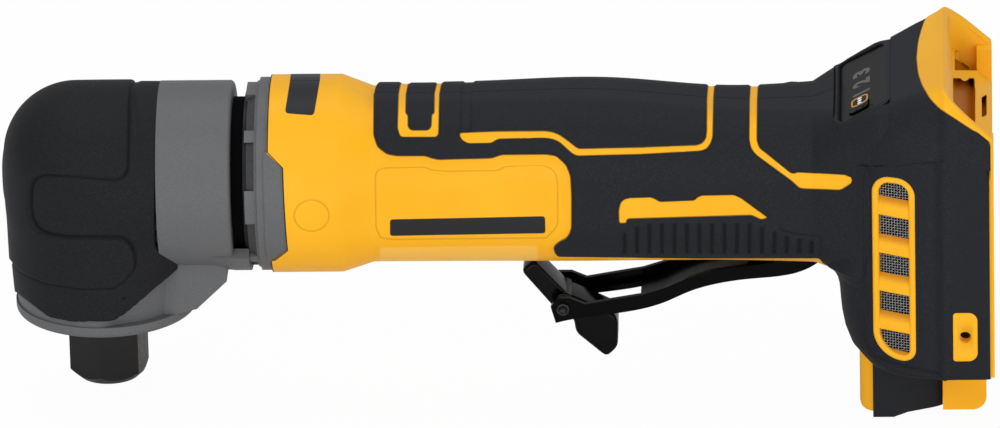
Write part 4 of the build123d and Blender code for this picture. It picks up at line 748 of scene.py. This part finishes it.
def makeDigit(letter, across, wide, material):
    # The font's outline, scaled to its box and laid on the display's face
    curve = bpy.data.curves.new("digit", "FONT")
    curve.body = letter
    curve.offset = display["bold"]
    typed = bpy.data.objects.new("digit", curve)
    shape = bpy.data.meshes.new_from_object(typed)
    bpy.data.objects.remove(typed)
    flat = np.empty(3 * len(shape.vertices), np.float32)
    shape.vertices.foreach_get("co", flat)
    flat = flat.reshape(-1, 3)[:, :2].astype(float)
    low, high = flat.min(axis=0), flat.max(axis=0)
    right, up = (((flat - low) / (high - low) - 0.5) * np.array((wide, display["tall"]))).T
    placed = onDisplay(display["along"] - up, across + right, display["face"])
    shape.vertices.foreach_set("co", metres(placed).ravel())
    shape.materials.clear()
    shape.materials.append(material)
    piece = addObject("digit" + letter, shape)
    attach(piece, "housing")


def makeDisplay(frameMaterial, digitMaterial, ringMaterial, dotMaterial):
    turn = loopTurns(96)
    rows = []
    for grow, lift, share in display["bead"]:
        half = np.array(display["half"]) + grow
        along, across = roundedLoop(display["middle"], half, (display["corner"] + grow,) * 4, turn).T
        rows.append(onDisplay(along, across, lift + share * rampLift(along, across)))
    gridMesh("displayBezel", np.array(rows), frameMaterial, "housing", "display", wrap=True, flip=True)
    for digit in display["digits"]:
        makeDigit(*digit, digitMaterial)
    turn = loopTurns(64)
    rows = []
    for share, lift in display["ringBead"]:
        half = [low + (high - low) * share for low, high in zip(*display["ring"])]
        along, across = roundedLoop(display["button"], half, (1.3 + 0.5 * share,) * 4, turn).T
        rows.append(onDisplay(along, across, display["buttonTop"] + lift))
    gridMesh("buttonRing", np.array(rows), ringMaterial, "button", "button", wrap=True, flip=True)
    turn = wholeTurn(20)
    reach, turn = np.meshgrid(np.linspace(1.0, 0.0, 6), turn, indexing="ij")
    dome = display["buttonTop"] - 0.02 + display["dome"] * np.sqrt(1.0 - reach**2)
    for number, shift in enumerate(display["dots"]):
        along = display["button"][0] + display["dot"][0] * reach * np.cos(turn)
        across = display["button"][1] + shift + display["dot"][1] * reach * np.sin(turn)
        points = onDisplay(along, across, dome)
        gridMesh("buttonDot%d" % (number + 1), points, dotMaterial, "button", "button", wrap=True)


# Foot: overmoulded skin over its front, sides and rails, in millimetres, with the vents and the hook's plate
foot = {
    "front": 214.05, "corner": 11, "proud": 0.9, "rear": 256.4, "rail": 39.8, "low": -50.2, "high": 18,
    "raise": 0.7, "raiseEnd": 244, "crease": 0.22, "creaseEnd": 242, "topSink": 1.6, "edgeSink": 0.9,
    "rows": 190, "columns": (10, 18, 150),
    "fold": (
        (238.6, 0), (239.6, -0.2), (240.6, -0.5), (241.4, -0.5), (242.3, 0.1), (243.2, 0.85), (244, 1.15),
        (245.4, 1.06), (247, 1),
    ),
    "frame": [
        (864.5, 340), (863.5, 182), (865.5, 173), (871, 166), (882, 155), (905, 150),
        (965, 150), (965, 377), (935, 373), (909, 368), (889, 363), (872, 354),
    ],
    "bottom": (
        (-50.2, 8), (-45, 3.2), (-40.3, 1.4), (-36, 0.6), (-32.8, 0.3), (-28.2, 0), (-24.7, -0.85),
        (-22.2, -2.95), (-20.7, -5.75),
    ),
    "throat": ((-33, 9), (-32, 0.3), (-28.2, -0.15), (-26, -1.55), (-25, -3.4), (-24.4, -4)),
}
vent = {
    "middle": (229.3, -17), "half": (6.1, 28.2), "corners": (5.2, 5.2, 8.6, 3.8), "around": 96,
    "rim": 1.75, "slant": 19.5,
    "first": -39.2, "pitch": 11.8, "slot": 6, "lean": 0.6, "low": -44.2, "lowStart": 3.4,
    "back": (-44.6, 10.6), "wire": 0.8, "radius": 0.085, "swing": 0.085, "deep": -0.85,
    "bead": (
        (-0.1, -0.6), (0, 0.1), (0.3, 0.36), (0.85, 0.45), (1.35, 0.38), (1.65, 0.18), (1.75, -0.1),
        (1.75, -0.95),
    ),
    "louvre": (
        (0, -0.95), (0, -0.2), (0.04, 0), (0.1, 0.06), (0.3, -0.05), (0.55, -0.22), (0.8, -0.42),
        (1, -0.64),
    ),
}
hook = {
    "middle": (249.6, -36.5), "half": (3.5, 7.5), "corners": (2.6, 0.9, 0.9, 2.6), "hole": 1.75, "around": 64,
    "edge": ((-0.1, -0.5), (0, 0.05), (0.15, 0.2), (0.4, 0.25)), "inner": (0.25, 0.1, -0.8),
}
shoulder = {
    "half": ((219, 30.2), (222, 31.5), (226, 33.1), (230, 34.7), (235, 36.3), (239, 37.5), (242, 38.2),
             (243.2, 38.9), (244.2, 39.5), (258, 39.5)),
    "top": ((219, 26.6), (222, 28.3), (230, 31.4), (238, 34.3), (245, 37.6), (258, 38)),
    "start": ((18, 220), (26, 228.6)), "edge": ((222, 12.6), (241.5, 17.4), (258, 15)),
    "rear": 257.7, "corner": 10, "drop": 16, "guess": (228, 244), "raise": (0.35, 1.15), "endSink": 0.6,
    "lowSink": 1.6, "bandRise": 0.25,
    "lip": (
        (-0.3, -0.9, -0.5, -0.5), (0.5, -0.6, -0.3, -0.3), (0.62, 0, 0, 0), (0.4, 0.35, 0.4, 0.4),
        (0, 0.4, 1.1, 1.1), (0, 0.2, 2.1, 2.4), (0, -0.8, 3.2, 3), (0, -4.6, 7.9, 3.4),
        (0, -9.5, 12.8, 3.5),
    ),
    "band": [
        (922, 10), (917.6, 36.3), (915.9, 55.7), (917.8, 75), (922, 87.2), (929.2, 99.3),
        (938.9, 109), (954.6, 118.6), (974, 130.8), (983.7, 135), (988.5, 140.4), (991.5, 150),
        (992.4, 164.6), (1020, 170), (1020, 10),
    ],
}
mouth = {"rise": 43.3, "start": 236, "slope": 41.5}


def sideHalf(x):
    # Half width of the foot: the ramp's own side carried down, then a fold that rises to the rail
    side = gripSection(np.minimum(x, 241.5))[0] + foot["proud"]
    rise = read(foot["fold"], x)
    return side * (1.0 - rise) + foot["rail"] * rise


def onSide(x, z, lift):
    # Point over the foot's left side, moved out along one mean direction
    slant = math.radians(vent["slant"])
    return together(x - lift * math.sin(slant), -sideHalf(x) - lift * math.cos(slant), z)


def beadRows(window, bead):
    # Rows round a rounded window of the side, each drawn in by its inset and lifted over the side
    turn = loopTurns(window["around"])
    rows = []
    for inset, lift in bead:
        half, corners = np.array(window["half"]) - inset, np.array(window["corners"]) - inset
        x, z = roundedLoop(window["middle"], half, corners, turn).T
        rows.append(onSide(x, z, lift))
    return rows


def bothSides(name, points, material, slot, **settings):
    flip = settings.pop("flip", False)
    left = gridMesh(name + "Left", points, material, "housing", slot, flip=flip, **settings)
    right = gridMesh(name + "Right", points * mirror, material, "housing", slot, flip=not flip, **settings)
    return left, right


def outsideWindow(x, z, window, inset):
    # True outside a rounded window of the side, drawn in by the inset
    (middleX, middleZ), (halfX, halfZ) = window["middle"], window["half"]
    highRear, highFront, lowFront, lowRear = window["corners"]
    rear = x > middleX
    high, low = np.where(rear, highRear, highFront), np.where(rear, lowRear, lowFront)
    radius = np.where(z > middleZ, high, low) - inset
    awayX, awayZ = np.abs(x - middleX) - halfX + inset, np.abs(z - middleZ) - halfZ + inset
    reach = np.hypot(np.clip(awayX + radius, 0.0, None), np.clip(awayZ + radius, 0.0, None)) - radius
    return (reach > 0.0) | (np.maximum(awayX, awayZ) > 0.0)


def makeFoot(material):
    # Rows by height; columns cross the front face, turn a quarter circle and run back along the side
    frontCount, cornerCount, sideCount = foot["columns"]
    corner = foot["corner"]
    z = np.linspace(foot["low"], foot["high"], foot["rows"])[:, None]
    bend = read(foot["bottom"], z)
    start = foot["front"] + bend
    turn = np.linspace(0.0, math.pi / 2.0, cornerCount)
    side = np.linspace(0.0, 1.0, sideCount)[1:]
    along = start + corner + (foot["rear"] - (start + corner)) * side
    front = np.repeat(start, frontCount, axis=1)
    x = np.concatenate([front, start + corner * (1.0 - np.cos(turn)), along], axis=1)
    drop = np.concatenate([np.full(frontCount, corner), corner * (1.0 - np.sin(turn)), 0.0 * side])
    y = -(sideHalf(x) - drop)
    y[:, :frontCount] = y[:, frontCount:frontCount + 1] * np.linspace(0.0, 1.0, frontCount, endpoint=False)
    x = x + np.minimum(read(foot["throat"], z) - bend, 0.0) * (1.0 - eased(-y, 13.6, 16.6))
    z = np.broadcast_to(z, x.shape)
    base = together(x, y, z)
    place = photoPlace(base)
    frame = inside(place, foot["frame"], 5.0)
    folded = x < foot["creaseEnd"]
    height = foot["raise"] * (1.0 - rounded(frame + 2.0, 3.0)) * (x < foot["raiseEnd"])
    height -= foot["crease"] * (1.0 - eased(np.abs(frame), 0.4, 1.8)) * folded
    height -= foot["topSink"] * eased(z, -22.5, -13.0) * (1.0 - eased(x, 217.0, 227.0))
    height -= foot["edgeSink"] * (1.0 - rounded(foot["rear"] - x, 1.6))
    height -= foot["edgeSink"] * (1.0 - rounded(z - foot["low"], 2.0))
    slant = math.radians(vent["slant"])
    lean = eased(-y, 12.0, 26.0)
    out = together(-1.0 + lean * (1.0 - math.sin(slant)), -lean * math.cos(slant), 0.0)
    keep = outsideWindow(x, z, vent, 0.9) & outsideWindow(x, z, hook, 0.35)
    keep &= z <= read(shoulder["edge"], x) + 0.8
    line = inside(place, outlines["shortLine"], 3.0)
    marks = skinMarks(x.shape, rubberMark=-line, stepMark=np.where(folded, np.abs(frame), 50.0))
    points = base + out * height[..., None]
    left, right = bothSides("footSkin", points, material, "grip_rubber", keep=keep, marks=marks)
    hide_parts("foot_rubber_left")
    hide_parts("foot_rubber_right")


def skinMarks(shape, **given):
    # Marks of the overmoulded finish where only a few of them matter; the rest lie far off
    far = {"darkMark": -50.0, "slotMark": -50.0, "grainMark": -50.0, "paleMark": -50.0}
    far.update({"rubberMark": 50.0, "panelMark": 50.0, "ringMark": 50.0, "stepMark": 50.0, "gapShadeMark": 50.0})
    return {key: given.get(key, np.full(shape, value)) for key, value in far.items()}


def shoulderPoints(x, share):
    # Rounded top corner of the foot, from the top middle down the side: points and outward directions
    corner = shoulder["corner"]
    quarter = corner * math.pi / 2.0
    flat = read(shoulder["half"], x) - corner
    walk = share * (flat + quarter + shoulder["drop"])
    turn = np.clip((walk - flat) / corner, 0.0, math.pi / 2.0)
    down = np.clip(walk - flat - quarter, 0.0, None)
    outY, outZ = -np.sin(turn), np.cos(turn)
    z = read(shoulder["top"], x) - corner + corner * outZ - down
    return together(x, -np.minimum(walk, flat) + corner * outY, z), together(0.0, outY, outZ)


def makeShoulder(material, inner):
    # Skin from behind the display to the mouth, whose edge is where the surface meets the mouth's slope
    fall = math.tan(math.radians(mouth["slope"]))
    share, part = np.meshgrid(np.linspace(0.0, 1.0, 150), np.linspace(0.0, 1.0, 90), indexing="ij")
    start, edge = (np.full(share.shape, guess) for guess in shoulder["guess"])
    for _ in range(12):
        z = shoulderPoints(edge, share)[0][..., 2]
        edge = 0.5 * edge + 0.5 * np.minimum(mouth["start"] + (mouth["rise"] - z) / fall, shoulder["rear"])
        start = 0.5 * start + 0.5 * read(shoulder["start"], shoulderPoints(start, share)[0][..., 2])
    x = start + (edge - start) * part
    base, out = shoulderPoints(x, share)
    band = inside(photoPlace(base), shoulder["band"], 4.0)
    z = base[..., 2]
    low = read(shoulder["edge"], x)
    swell = eased(-z, -24.0, -17.0) * eased(x, 220.0, 234.0) * (1.0 - eased(x, 239.5, 244.0))
    height = shoulder["raise"][0] + shoulder["raise"][1] * swell
    height -= shoulder["endSink"] * (2.0 - eased(x - start, 0.0, 9.0) - rounded(edge - x, 1.2))
    height -= shoulder["lowSink"] * (1.0 - rounded(z - low + 0.3, 1.3)) * (1.0 - eased(x, 239.0, 242.5))
    height += shoulder["bandRise"] * rounded(band, 3.0)
    marks = skinMarks(x.shape, rubberMark=-band)
    points = base + out * height[..., None]
    bothSides("shoulderSkin", points, material, "grip_rubber", flip=True, keep=z > low - 0.5, marks=marks)
    slope = math.radians(mouth["slope"])
    rim, out = base[:, -1], out[:, -1]
    normal = np.array((math.sin(slope), 0.0, math.cos(slope)))
    inward = out @ normal[:, None] * normal - out
    inward = inward / np.linalg.norm(inward, axis=1)[:, None]
    flat = out[:, 2:3]
    rows = [
        rim + over * out + rise * normal + (side + (upper - side) * flat) * inward
        for over, rise, upper, side in shoulder["lip"]
    ]
    bothSides("mouthSlope", np.array(rows), inner, "housing", flip=True)


def wovenWires(across, along, lean, tall):
    # Four-sided tubes: each wire swings over and under the ones it crosses; its ends close to a point
    index = np.arange(len(across))[:, None]
    step = np.arange(len(along))[None, :]
    swing = vent["swing"] * np.cos(math.pi * (step / 2.0 + index + lean))
    size = np.where((step == 0) | (step >= len(along) - 2), 0.0, vent["radius"])
    corner = np.radians((315.0, 225.0, 135.0, 45.0) if tall else (45.0, 135.0, 225.0, 315.0))
    side = across[:, None, None] + size[..., None] * np.cos(corner)
    lift = swing[..., None] + size[..., None] * np.sin(corner) + vent["deep"]
    run = np.broadcast_to(along[None, :, None], side.shape)
    shiftX, shiftZ = (side, run) if tall else (run, side)
    keep = np.broadcast_to(step[..., None] < len(along) - 1, side.shape)
    points = onSide(vent["middle"][0] + shiftX, vent["middle"][1] + shiftZ, lift)
    return points.reshape(-1, 4, 3), keep.reshape(-1, 4)


def makeVents(frameMaterial, louvreMaterial, wireMaterial, darkMaterial):
    bothSides("ventFrame", np.array(beadRows(vent, vent["bead"])), frameMaterial, "housing", wrap=True)
    front = vent["middle"][0] - vent["half"][0] + vent["rim"] - 0.2
    rear = vent["middle"][0] + vent["half"][0] - vent["rim"] + 0.2
    heights, lifts = (np.array(values) for values in zip(*vent["louvre"]))
    x, share = np.meshgrid(np.linspace(front, rear, 14), heights)
    lift = np.broadcast_to(lifts[:, None], x.shape)
    for number in range(-1, 4):
        low = vent["first"] + vent["pitch"] * number + vent["slot"] / 2.0
        z = low + share * (vent["pitch"] - vent["slot"]) - vent["lean"] * (x - front) / (rear - front)
        begin = front + (vent["lowStart"] if number < 0 else 0.0)
        along = begin + (x - front) * (rear - begin) / (rear - front)
        points = onSide(along, np.maximum(z, vent["low"]), lift)
        marks = {"shadeMark": share}
        bothSides("ventLouvre%d" % (number + 2), points, louvreMaterial, "housing", marks=marks)
    span = np.arange(-34, 34) * vent["wire"] + vent["wire"] / 2.0
    narrow = np.arange(-6, 7) * vent["wire"]
    tallRun = np.arange(-68, 70) * vent["wire"] / 2.0
    wideRun = np.arange(-13, 15) * vent["wire"] / 2.0
    upright, uprightKeep = wovenWires(narrow, tallRun, 0.5, True)
    level, levelKeep = wovenWires(span, wideRun, 1.5, False)
    wires, keep = np.concatenate([upright, level]), np.concatenate([uprightKeep, levelKeep])
    left, right = bothSides("ventMesh", wires, wireMaterial, "mesh", wrap=True, keep=keep)
    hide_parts("vent_screen_left")
    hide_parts("vent_screen_right")
    # Dark sheet behind the mesh: painted shade standing for the housing's dark inside
    x, z = np.meshgrid(np.linspace(front - 1.2, rear + 1.2, 8), np.linspace(*vent["back"], 24))
    bow = vent["deep"] - 0.17 - 0.02 * np.sin((x - front) / (rear - front) * math.pi)
    bothSides("ventShadeSheet", onSide(x, z, bow), darkMaterial, "mesh")


def makeHook(material):
    # Plate round the hook's screw hole: from its outline over a rounded edge to the hole and down into it
    rows = beadRows(hook, hook["edge"])
    turn = loopTurns(hook["around"])
    x, z = hook["middle"][0] + hook["hole"] * np.cos(turn), hook["middle"][1] + hook["hole"] * np.sin(turn)
    rows.extend(onSide(x, z, lift) for lift in hook["inner"])
    bothSides("hookPlate", np.array(rows), material, "housing", wrap=True)


# Lock lever under the paddle, side view in millimetres: its thumb tab, its arm and the hub between
lock = {
    "tab": [
        (134.7, -36.3), (147.6, -42.5), (148.9, -44.9), (148.7, -53.1), (145.4, -56.3), (136.6, -48.6),
        (136, -44.1), (132.6, -41.1),
    ],
    "arm": [(130.74, -40.97), (121.04, -28.93), (124.76, -25.59), (135.06, -37.03)],
    "hub": 3, "hubHalf": 5.7, "half": 5.8, "round": 1.2, "pin": (133.2, -11.6, -38.7),
    "rivet": (
        (1.95, 0.6), (1.95, -0.25), (1.8, -0.42), (1.45, -0.45), (1.2, -0.38), (1.08, -0.2), (1.05, -0.03),
        (0, -0.02),
    ),
}


def makeLock(material, dark):
    # Each outline is softened, then drawn in toward its middle over a quarter circle at both flat sides
    turn = np.radians((90.0, 70.0, 45.0, 20.0, 0.0))
    inset = lock["round"] * (1.0 - np.cos(turn))
    depth = lock["half"] - lock["round"] * (1.0 - np.sin(turn))
    insets = np.concatenate([[9.0, 3.0], inset, inset[::-1], [3.0, 9.0]])
    depths = np.concatenate([[lock["half"]] * 2, depth, -depth[::-1], [-lock["half"]] * 2])
    for name in ("tab", "arm"):
        loop = soften(lock[name], 1.6)
        middle = loop.mean(axis=0)
        away = loop - middle
        span = np.linalg.norm(away, axis=1)
        shrink = 1.0 - np.minimum(insets[:, None] / span, 1.0)
        shrink[[0, -1]] = 0.0
        flat = middle + away * shrink[..., None]
        points = together(flat[..., 0], -depths[:, None], flat[..., 1])
        piece = gridMesh("lock" + name.capitalize(), points, material, "lock", "black_plastic", wrap=True)
        if name == "tab":
            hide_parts("lock_lever")
    turn = loopTurns(40)
    x, y, z = lock["pin"]
    side = np.array(((-lock["hubHalf"],), (lock["hubHalf"],)))
    points = together(x + lock["hub"] * np.cos(turn), side, z + lock["hub"] * np.sin(turn))
    gridMesh("lockHub", points, material, "lock", "black_plastic", wrap=True, flip=True)
    reach, lift = np.array(lock["rivet"]).T[..., None]
    points = together(x + reach * np.cos(turn), y + lift, z + reach * np.sin(turn))
    gridMesh("pinRivet", points, dark, "paddle", "dark_steel", wrap=True)


# Inside of the battery bay: a ribbed panel under the mouth, along its slope
bay = {
    "front": 244.8, "rear": 257.7, "half": 36.3, "top": 34.45, "slope": 41.5, "deep": 7.5, "hollow": 8,
    "sight": (0.04, -0.926, 0.375), "start": 246,
    "windows": (
        [(955, 51), (974, 51.5), (983, 56), (983, 70), (955, 70)],
        [(953.5, 78.5), (960.5, 78.5), (962, 80.5), (965, 81.5), (968, 80.5), (969.5, 78.5), (974, 78.5),
         (975, 90), (975, 124), (953.5, 114)],
        [(982, 98), (986.5, 95), (986.5, 115), (982, 117)],
    ),
}


def makeBay(material):
    # Flat slope with windows sunk away from the left and down in the outlines, no further than the wall
    slope = math.radians(bay["slope"])
    across = np.linspace(-bay["half"], bay["half"], 330)
    x, y = np.meshgrid(np.linspace(bay["front"], bay["rear"], 70), across)
    z = bay["top"] - (x - bay["start"]) * math.tan(slope) - bay["deep"] / math.cos(slope)
    base = together(x, y, z)
    place = photoPlace(base)
    hollow = np.maximum.reduce([inside(place, window, 1.0) for window in bay["windows"]])
    out = np.array(bay["sight"])
    height = -np.minimum(bay["hollow"], (y - bay["half"]) / out[1]) * eased(hollow, -0.3, 0.5)
    points = base + height[..., None] * out
    # Painted shade: the mark turns the yellow amber deep in the windows
    gridMesh("bayPanel", points, material, "housing", "housing", marks={"hollowShadeMark": hollow})


# Finishes: pairs of close tones, linear; amber, fold, gap, edge, flute, step, crease, hole and scoop are
# colours of painted shade
tones = {
    "yellow": ((0.92, 0.435, 0.011), (0.95, 0.465, 0.016)), "bay": ((0.9, 0.42, 0.012), (0.93, 0.46, 0.018)),
    "grip": ((0.0088, 0.0108, 0.0148), (0.028, 0.03, 0.035)),
    "boot": ((0.0076, 0.0085, 0.0108), (0.028, 0.0285, 0.03)),
    "rubber": ((0.0098, 0.0118, 0.0158), (0.0125, 0.0145, 0.0185)),
    "grey": ((0.098, 0.102, 0.108), (0.135, 0.139, 0.145)),
    "scoop": ((0.04, 0.041, 0.044), (0.05, 0.051, 0.054)),
    "digit": ((0.09, 0.09, 0.09), (0.12, 0.12, 0.12)), "ring": ((0.5, 0.25, 0.04), (0.58, 0.3, 0.06)),
    "dot": ((0.8, 0.8, 0.78), (0.9, 0.9, 0.88)), "amber": (0.42, 0.12, 0.002), "fold": (0.28, 0.11, 0.004),
    "pale": (0.96, 0.62, 0.16), "plate": (0.02, 0.021, 0.024), "gap": (0.006, 0.006, 0.006),
    "edge": (0.05, 0.02, 0.002), "flute": (0.004, 0.004, 0.005), "step": (0.005, 0.005, 0.006),
    "crease": (0.003, 0.003, 0.003), "hole": (0.001, 0.001, 0.001),
}


def makePlain(name, roughness, shine, mottling, grain=None):
    # One colour in two close tones, over an even grain of given scale, detail, height in metres and strength
    finish = Finish(name, Roughness=roughness, Specular_IOR_Level=shine)
    if grain:
        scale, detail, distance, strength = grain
        finish.use(Normal=finish.bump(finish.noise(scale, detail), distance, strength))
    return finish.use(Base_Color=finish.mottle(*mottling))


def makeYellow():
    finish = Finish("yellowPlastic", Roughness=0.42, Specular_IOR_Level=0.17)
    grain = finish.cells(2600.0) * 0.5 + finish.noise(1900.0) * 0.5
    colour = finish.mottle(30.0, *tones["yellow"])
    return finish.use(Base_Color=colour, Normal=finish.bump(grain, 0.00004, 0.5))


def makeSkin():
    # Yellow moulding and charcoal overmould on one surface, parted by the marks at the moulded edges
    finish = Finish("overmouldedGrip", Specular_IOR_Level=0.15)
    cover = finish.attribute("rubberMark")
    isRubber = finish.ramp(cover, -0.4, 0.4)
    panelLine = finish.ramp(abs(finish.attribute("panelMark")), 0.3, 1.3)
    # Painted shade: the yellow darkens to orange along the sunk panel outline and in the ring's groove
    fold = 1.0 - 0.35 * (1.0 - panelLine * finish.mark("ringMark", 0.3, 1.2))
    plastic = finish.blend(fold, tones["fold"], finish.mottle(30.0, *tones["yellow"]))
    plastic = finish.blend(finish.mark("paleMark", -0.4, 0.4, 0.0, 0.4), plastic, tones["pale"])
    plastic = finish.blend(finish.mark("darkMark", -0.4, 0.4), plastic, tones["plate"])
    # Painted shade: near-black along the barrel's front edge, in the gap at the collar
    plastic = finish.blend(finish.mark("gapShadeMark", 0.22, 0.42), tones["gap"], plastic)
    # Painted shadow: the yellow darkens next to the overmould's edges
    plastic = finish.blend(finish.ramp(cover, -1.1, -0.3, 0.0, 0.75), plastic, tones["edge"])
    soft = finish.mottle(5200.0, *tones["grip"], 0.5, 0.72, 1.0)
    # Painted shade inside the sunk flutes
    soft = finish.blend(finish.mark("slotMark", -0.2, 1.0, 0.0, 0.75), soft, tones["flute"])
    # Painted shade along the sunk step line, the channel's edges and the foot frame's crease
    soft = finish.blend(finish.mark("stepMark", 0.2, 1.2, 0.6, 0.0), soft, tones["step"])
    coarse = finish.mark("grainMark", -1.0, 1.0)
    grain = finish.noise(3200.0, 2.0) * (1.0 - coarse) + finish.cells(1700.0) * coarse * 2.2
    fine = finish.cells(2600.0) * 0.4 + finish.noise(1900.0) * 0.4
    height = grain * isRubber + fine * (1.0 - isRubber)
    finish.use(Roughness=finish.ramp(isRubber, 0.0, 1.0, 0.4, 0.6), Normal=finish.bump(height, 0.00006, 0.6))
    return finish.use(Base_Color=finish.blend(isRubber, plastic, soft))


def makeBootRubber():
    finish = Finish("bootRubber", Roughness=0.62, Specular_IOR_Level=0.15)
    tone = finish.mottle(5200.0, *tones["boot"], 0.52, 0.74, 1.0)
    # Painted shade in the sunk creases round the pads
    tone = finish.blend(finish.mark("creaseShadeMark", 0.4, 1.7, 0.85, 0.0), tone, tones["crease"])
    # Painted shade: near-black down the sunk hole
    tone = finish.blend(finish.mark("holeShadeMark", 1.0, 1.7, 1.0, 0.0), tone, tones["hole"])
    grain = finish.noise(3000.0, 2.0) + finish.cells(1900.0)
    return finish.use(Base_Color=tone, Normal=finish.bump(grain, 0.00006, 0.55))


def makeShaded(name, roughness, shine, pair, mark):
    # Yellow plastic with painted shade: it darkens to orange where the given mark rises
    finish = Finish(name, Roughness=roughness, Specular_IOR_Level=shine)
    return finish.use(Base_Color=finish.blend(finish.mark(*mark), finish.mottle(30.0, *pair), tones["amber"]))


def makeBlack(name, roughness, tone=0.006, shine=0.22):
    low = (tone, tone, tone * 1.12)
    high = (tone * 1.3, tone * 1.3, tone * 1.45)
    return makePlain(name, roughness, shine, (80.0, low, high), (2400.0, 3.0, 0.00003, 0.4))


def makePaint(name, pair, roughness=0.5):
    return makePlain(name, roughness, 0.3, (900.0, *pair))


def makeSteel(name, tone, roughness):
    finish = Finish(name, Metallic=1.0)
    low, high = (tone, tone, tone * 1.02), (tone * 1.15, tone * 1.15, tone * 1.16)
    rough = finish.ramp(finish.noise(900.0, 2.0), 0.2, 0.8, roughness - 0.06, roughness + 0.1)
    return finish.use(Base_Color=finish.blend(finish.noise(220.0), low, high), Roughness=rough)


yellow = makeYellow()
rubber = makePlain("charcoalRubber", 0.6, 0.2, (60.0, *tones["rubber"]), (3200.0, 2.0, 0.00006, 0.6))
specks = (5200.0, *tones["grey"], 0.35, 0.65, 1.0)
grey = makePlain("greyCoat", 0.5, 0.25, specks, (1500.0, 2.0, 0.00005, 0.6))
black = makeBlack("blackPlastic", 0.45)
gloss = makeBlack("glossBlack", 0.22, 0.0014, 0.06)
matte = makeBlack("matteBlack", 0.9, 0.002, 0.05)
steel = makeSteel("steel", 0.55, 0.3)
oxide = makeSteel("oxideSteel", 0.03, 0.36)
dress(yellow, "housing_left", "housing_right")
dress(rubber, "grip_rubber_left", "grip_rubber_right", "head_boot", "foot_pad", "foot_rubber_left",
      "foot_rubber_right")
dress(grey, "gear_case", "exhaust_collar")
dress(black, "bearing_plate", "lock_lever", "terminal_block", "switch_body", "switch_plunger",
      "control_module", "cooling_fan", "spindle_seal", "bearing_sleeve")
dress(gloss, "paddle_lever", "display_panel", "speed_button")
dress(matte, "baffle_ring")
dress(oxide, "lock_pin", "paddle_pin", "lock_spring", "collet_nut", "housing_screws", "drive_pinion",
      "driven_gear", "bearing_retainer")
dress(steel, "collet", "spindle", "vent_screen_left", "vent_screen_right", "terminal_blades", "rotor_shaft",
      "rotor_races", "rotor_core", "rotor_magnets", "spindle_races", "spindle_top_bearing",
      "spindle_low_bearing", "motor_front_bearing", "motor_rear_bearing", "stator_core", "stator_windings",
      "hall_board", "control_board", "case_screws")
print("stage: finishes")

skin = makeSkin()
makeGrip(skin)
makeWells(rubber)
print("stage: grip skins")
makeBoot(makeBootRubber())
makeCase(grey, makePaint("scoopShadeGrey", tones["scoop"], 0.6))
print("stage: boot skin")
makeFoot(skin)
makeShoulder(skin, yellow)
# Painted shade: each louvre bar darkens to orange towards its top
louvre = makeShaded("louvreYellow", 0.42, 0.17, tones["yellow"], ("shadeMark", 0.45, 0.98, 0.0, 0.75))
makeVents(yellow, louvre, makeSteel("screenWire", 0.4, 0.35), matte)
makeHook(yellow)
makeBay(makeShaded("bayYellow", 0.45, 0.2, tones["bay"], ("hollowShadeMark", -0.34, -0.1)))
makeLock(makeBlack("lockBlack", 0.16, 0.0014, 0.12), oxide)
print("stage: foot and lock")
digitPaint = makePaint("greyPaint", tones["digit"])
ringPaint = makePaint("amberPaint", tones["ring"])
makeDisplay(rubber, digitPaint, ringPaint, makePaint("whitePaint", tones["dot"]))
print("stage: display")
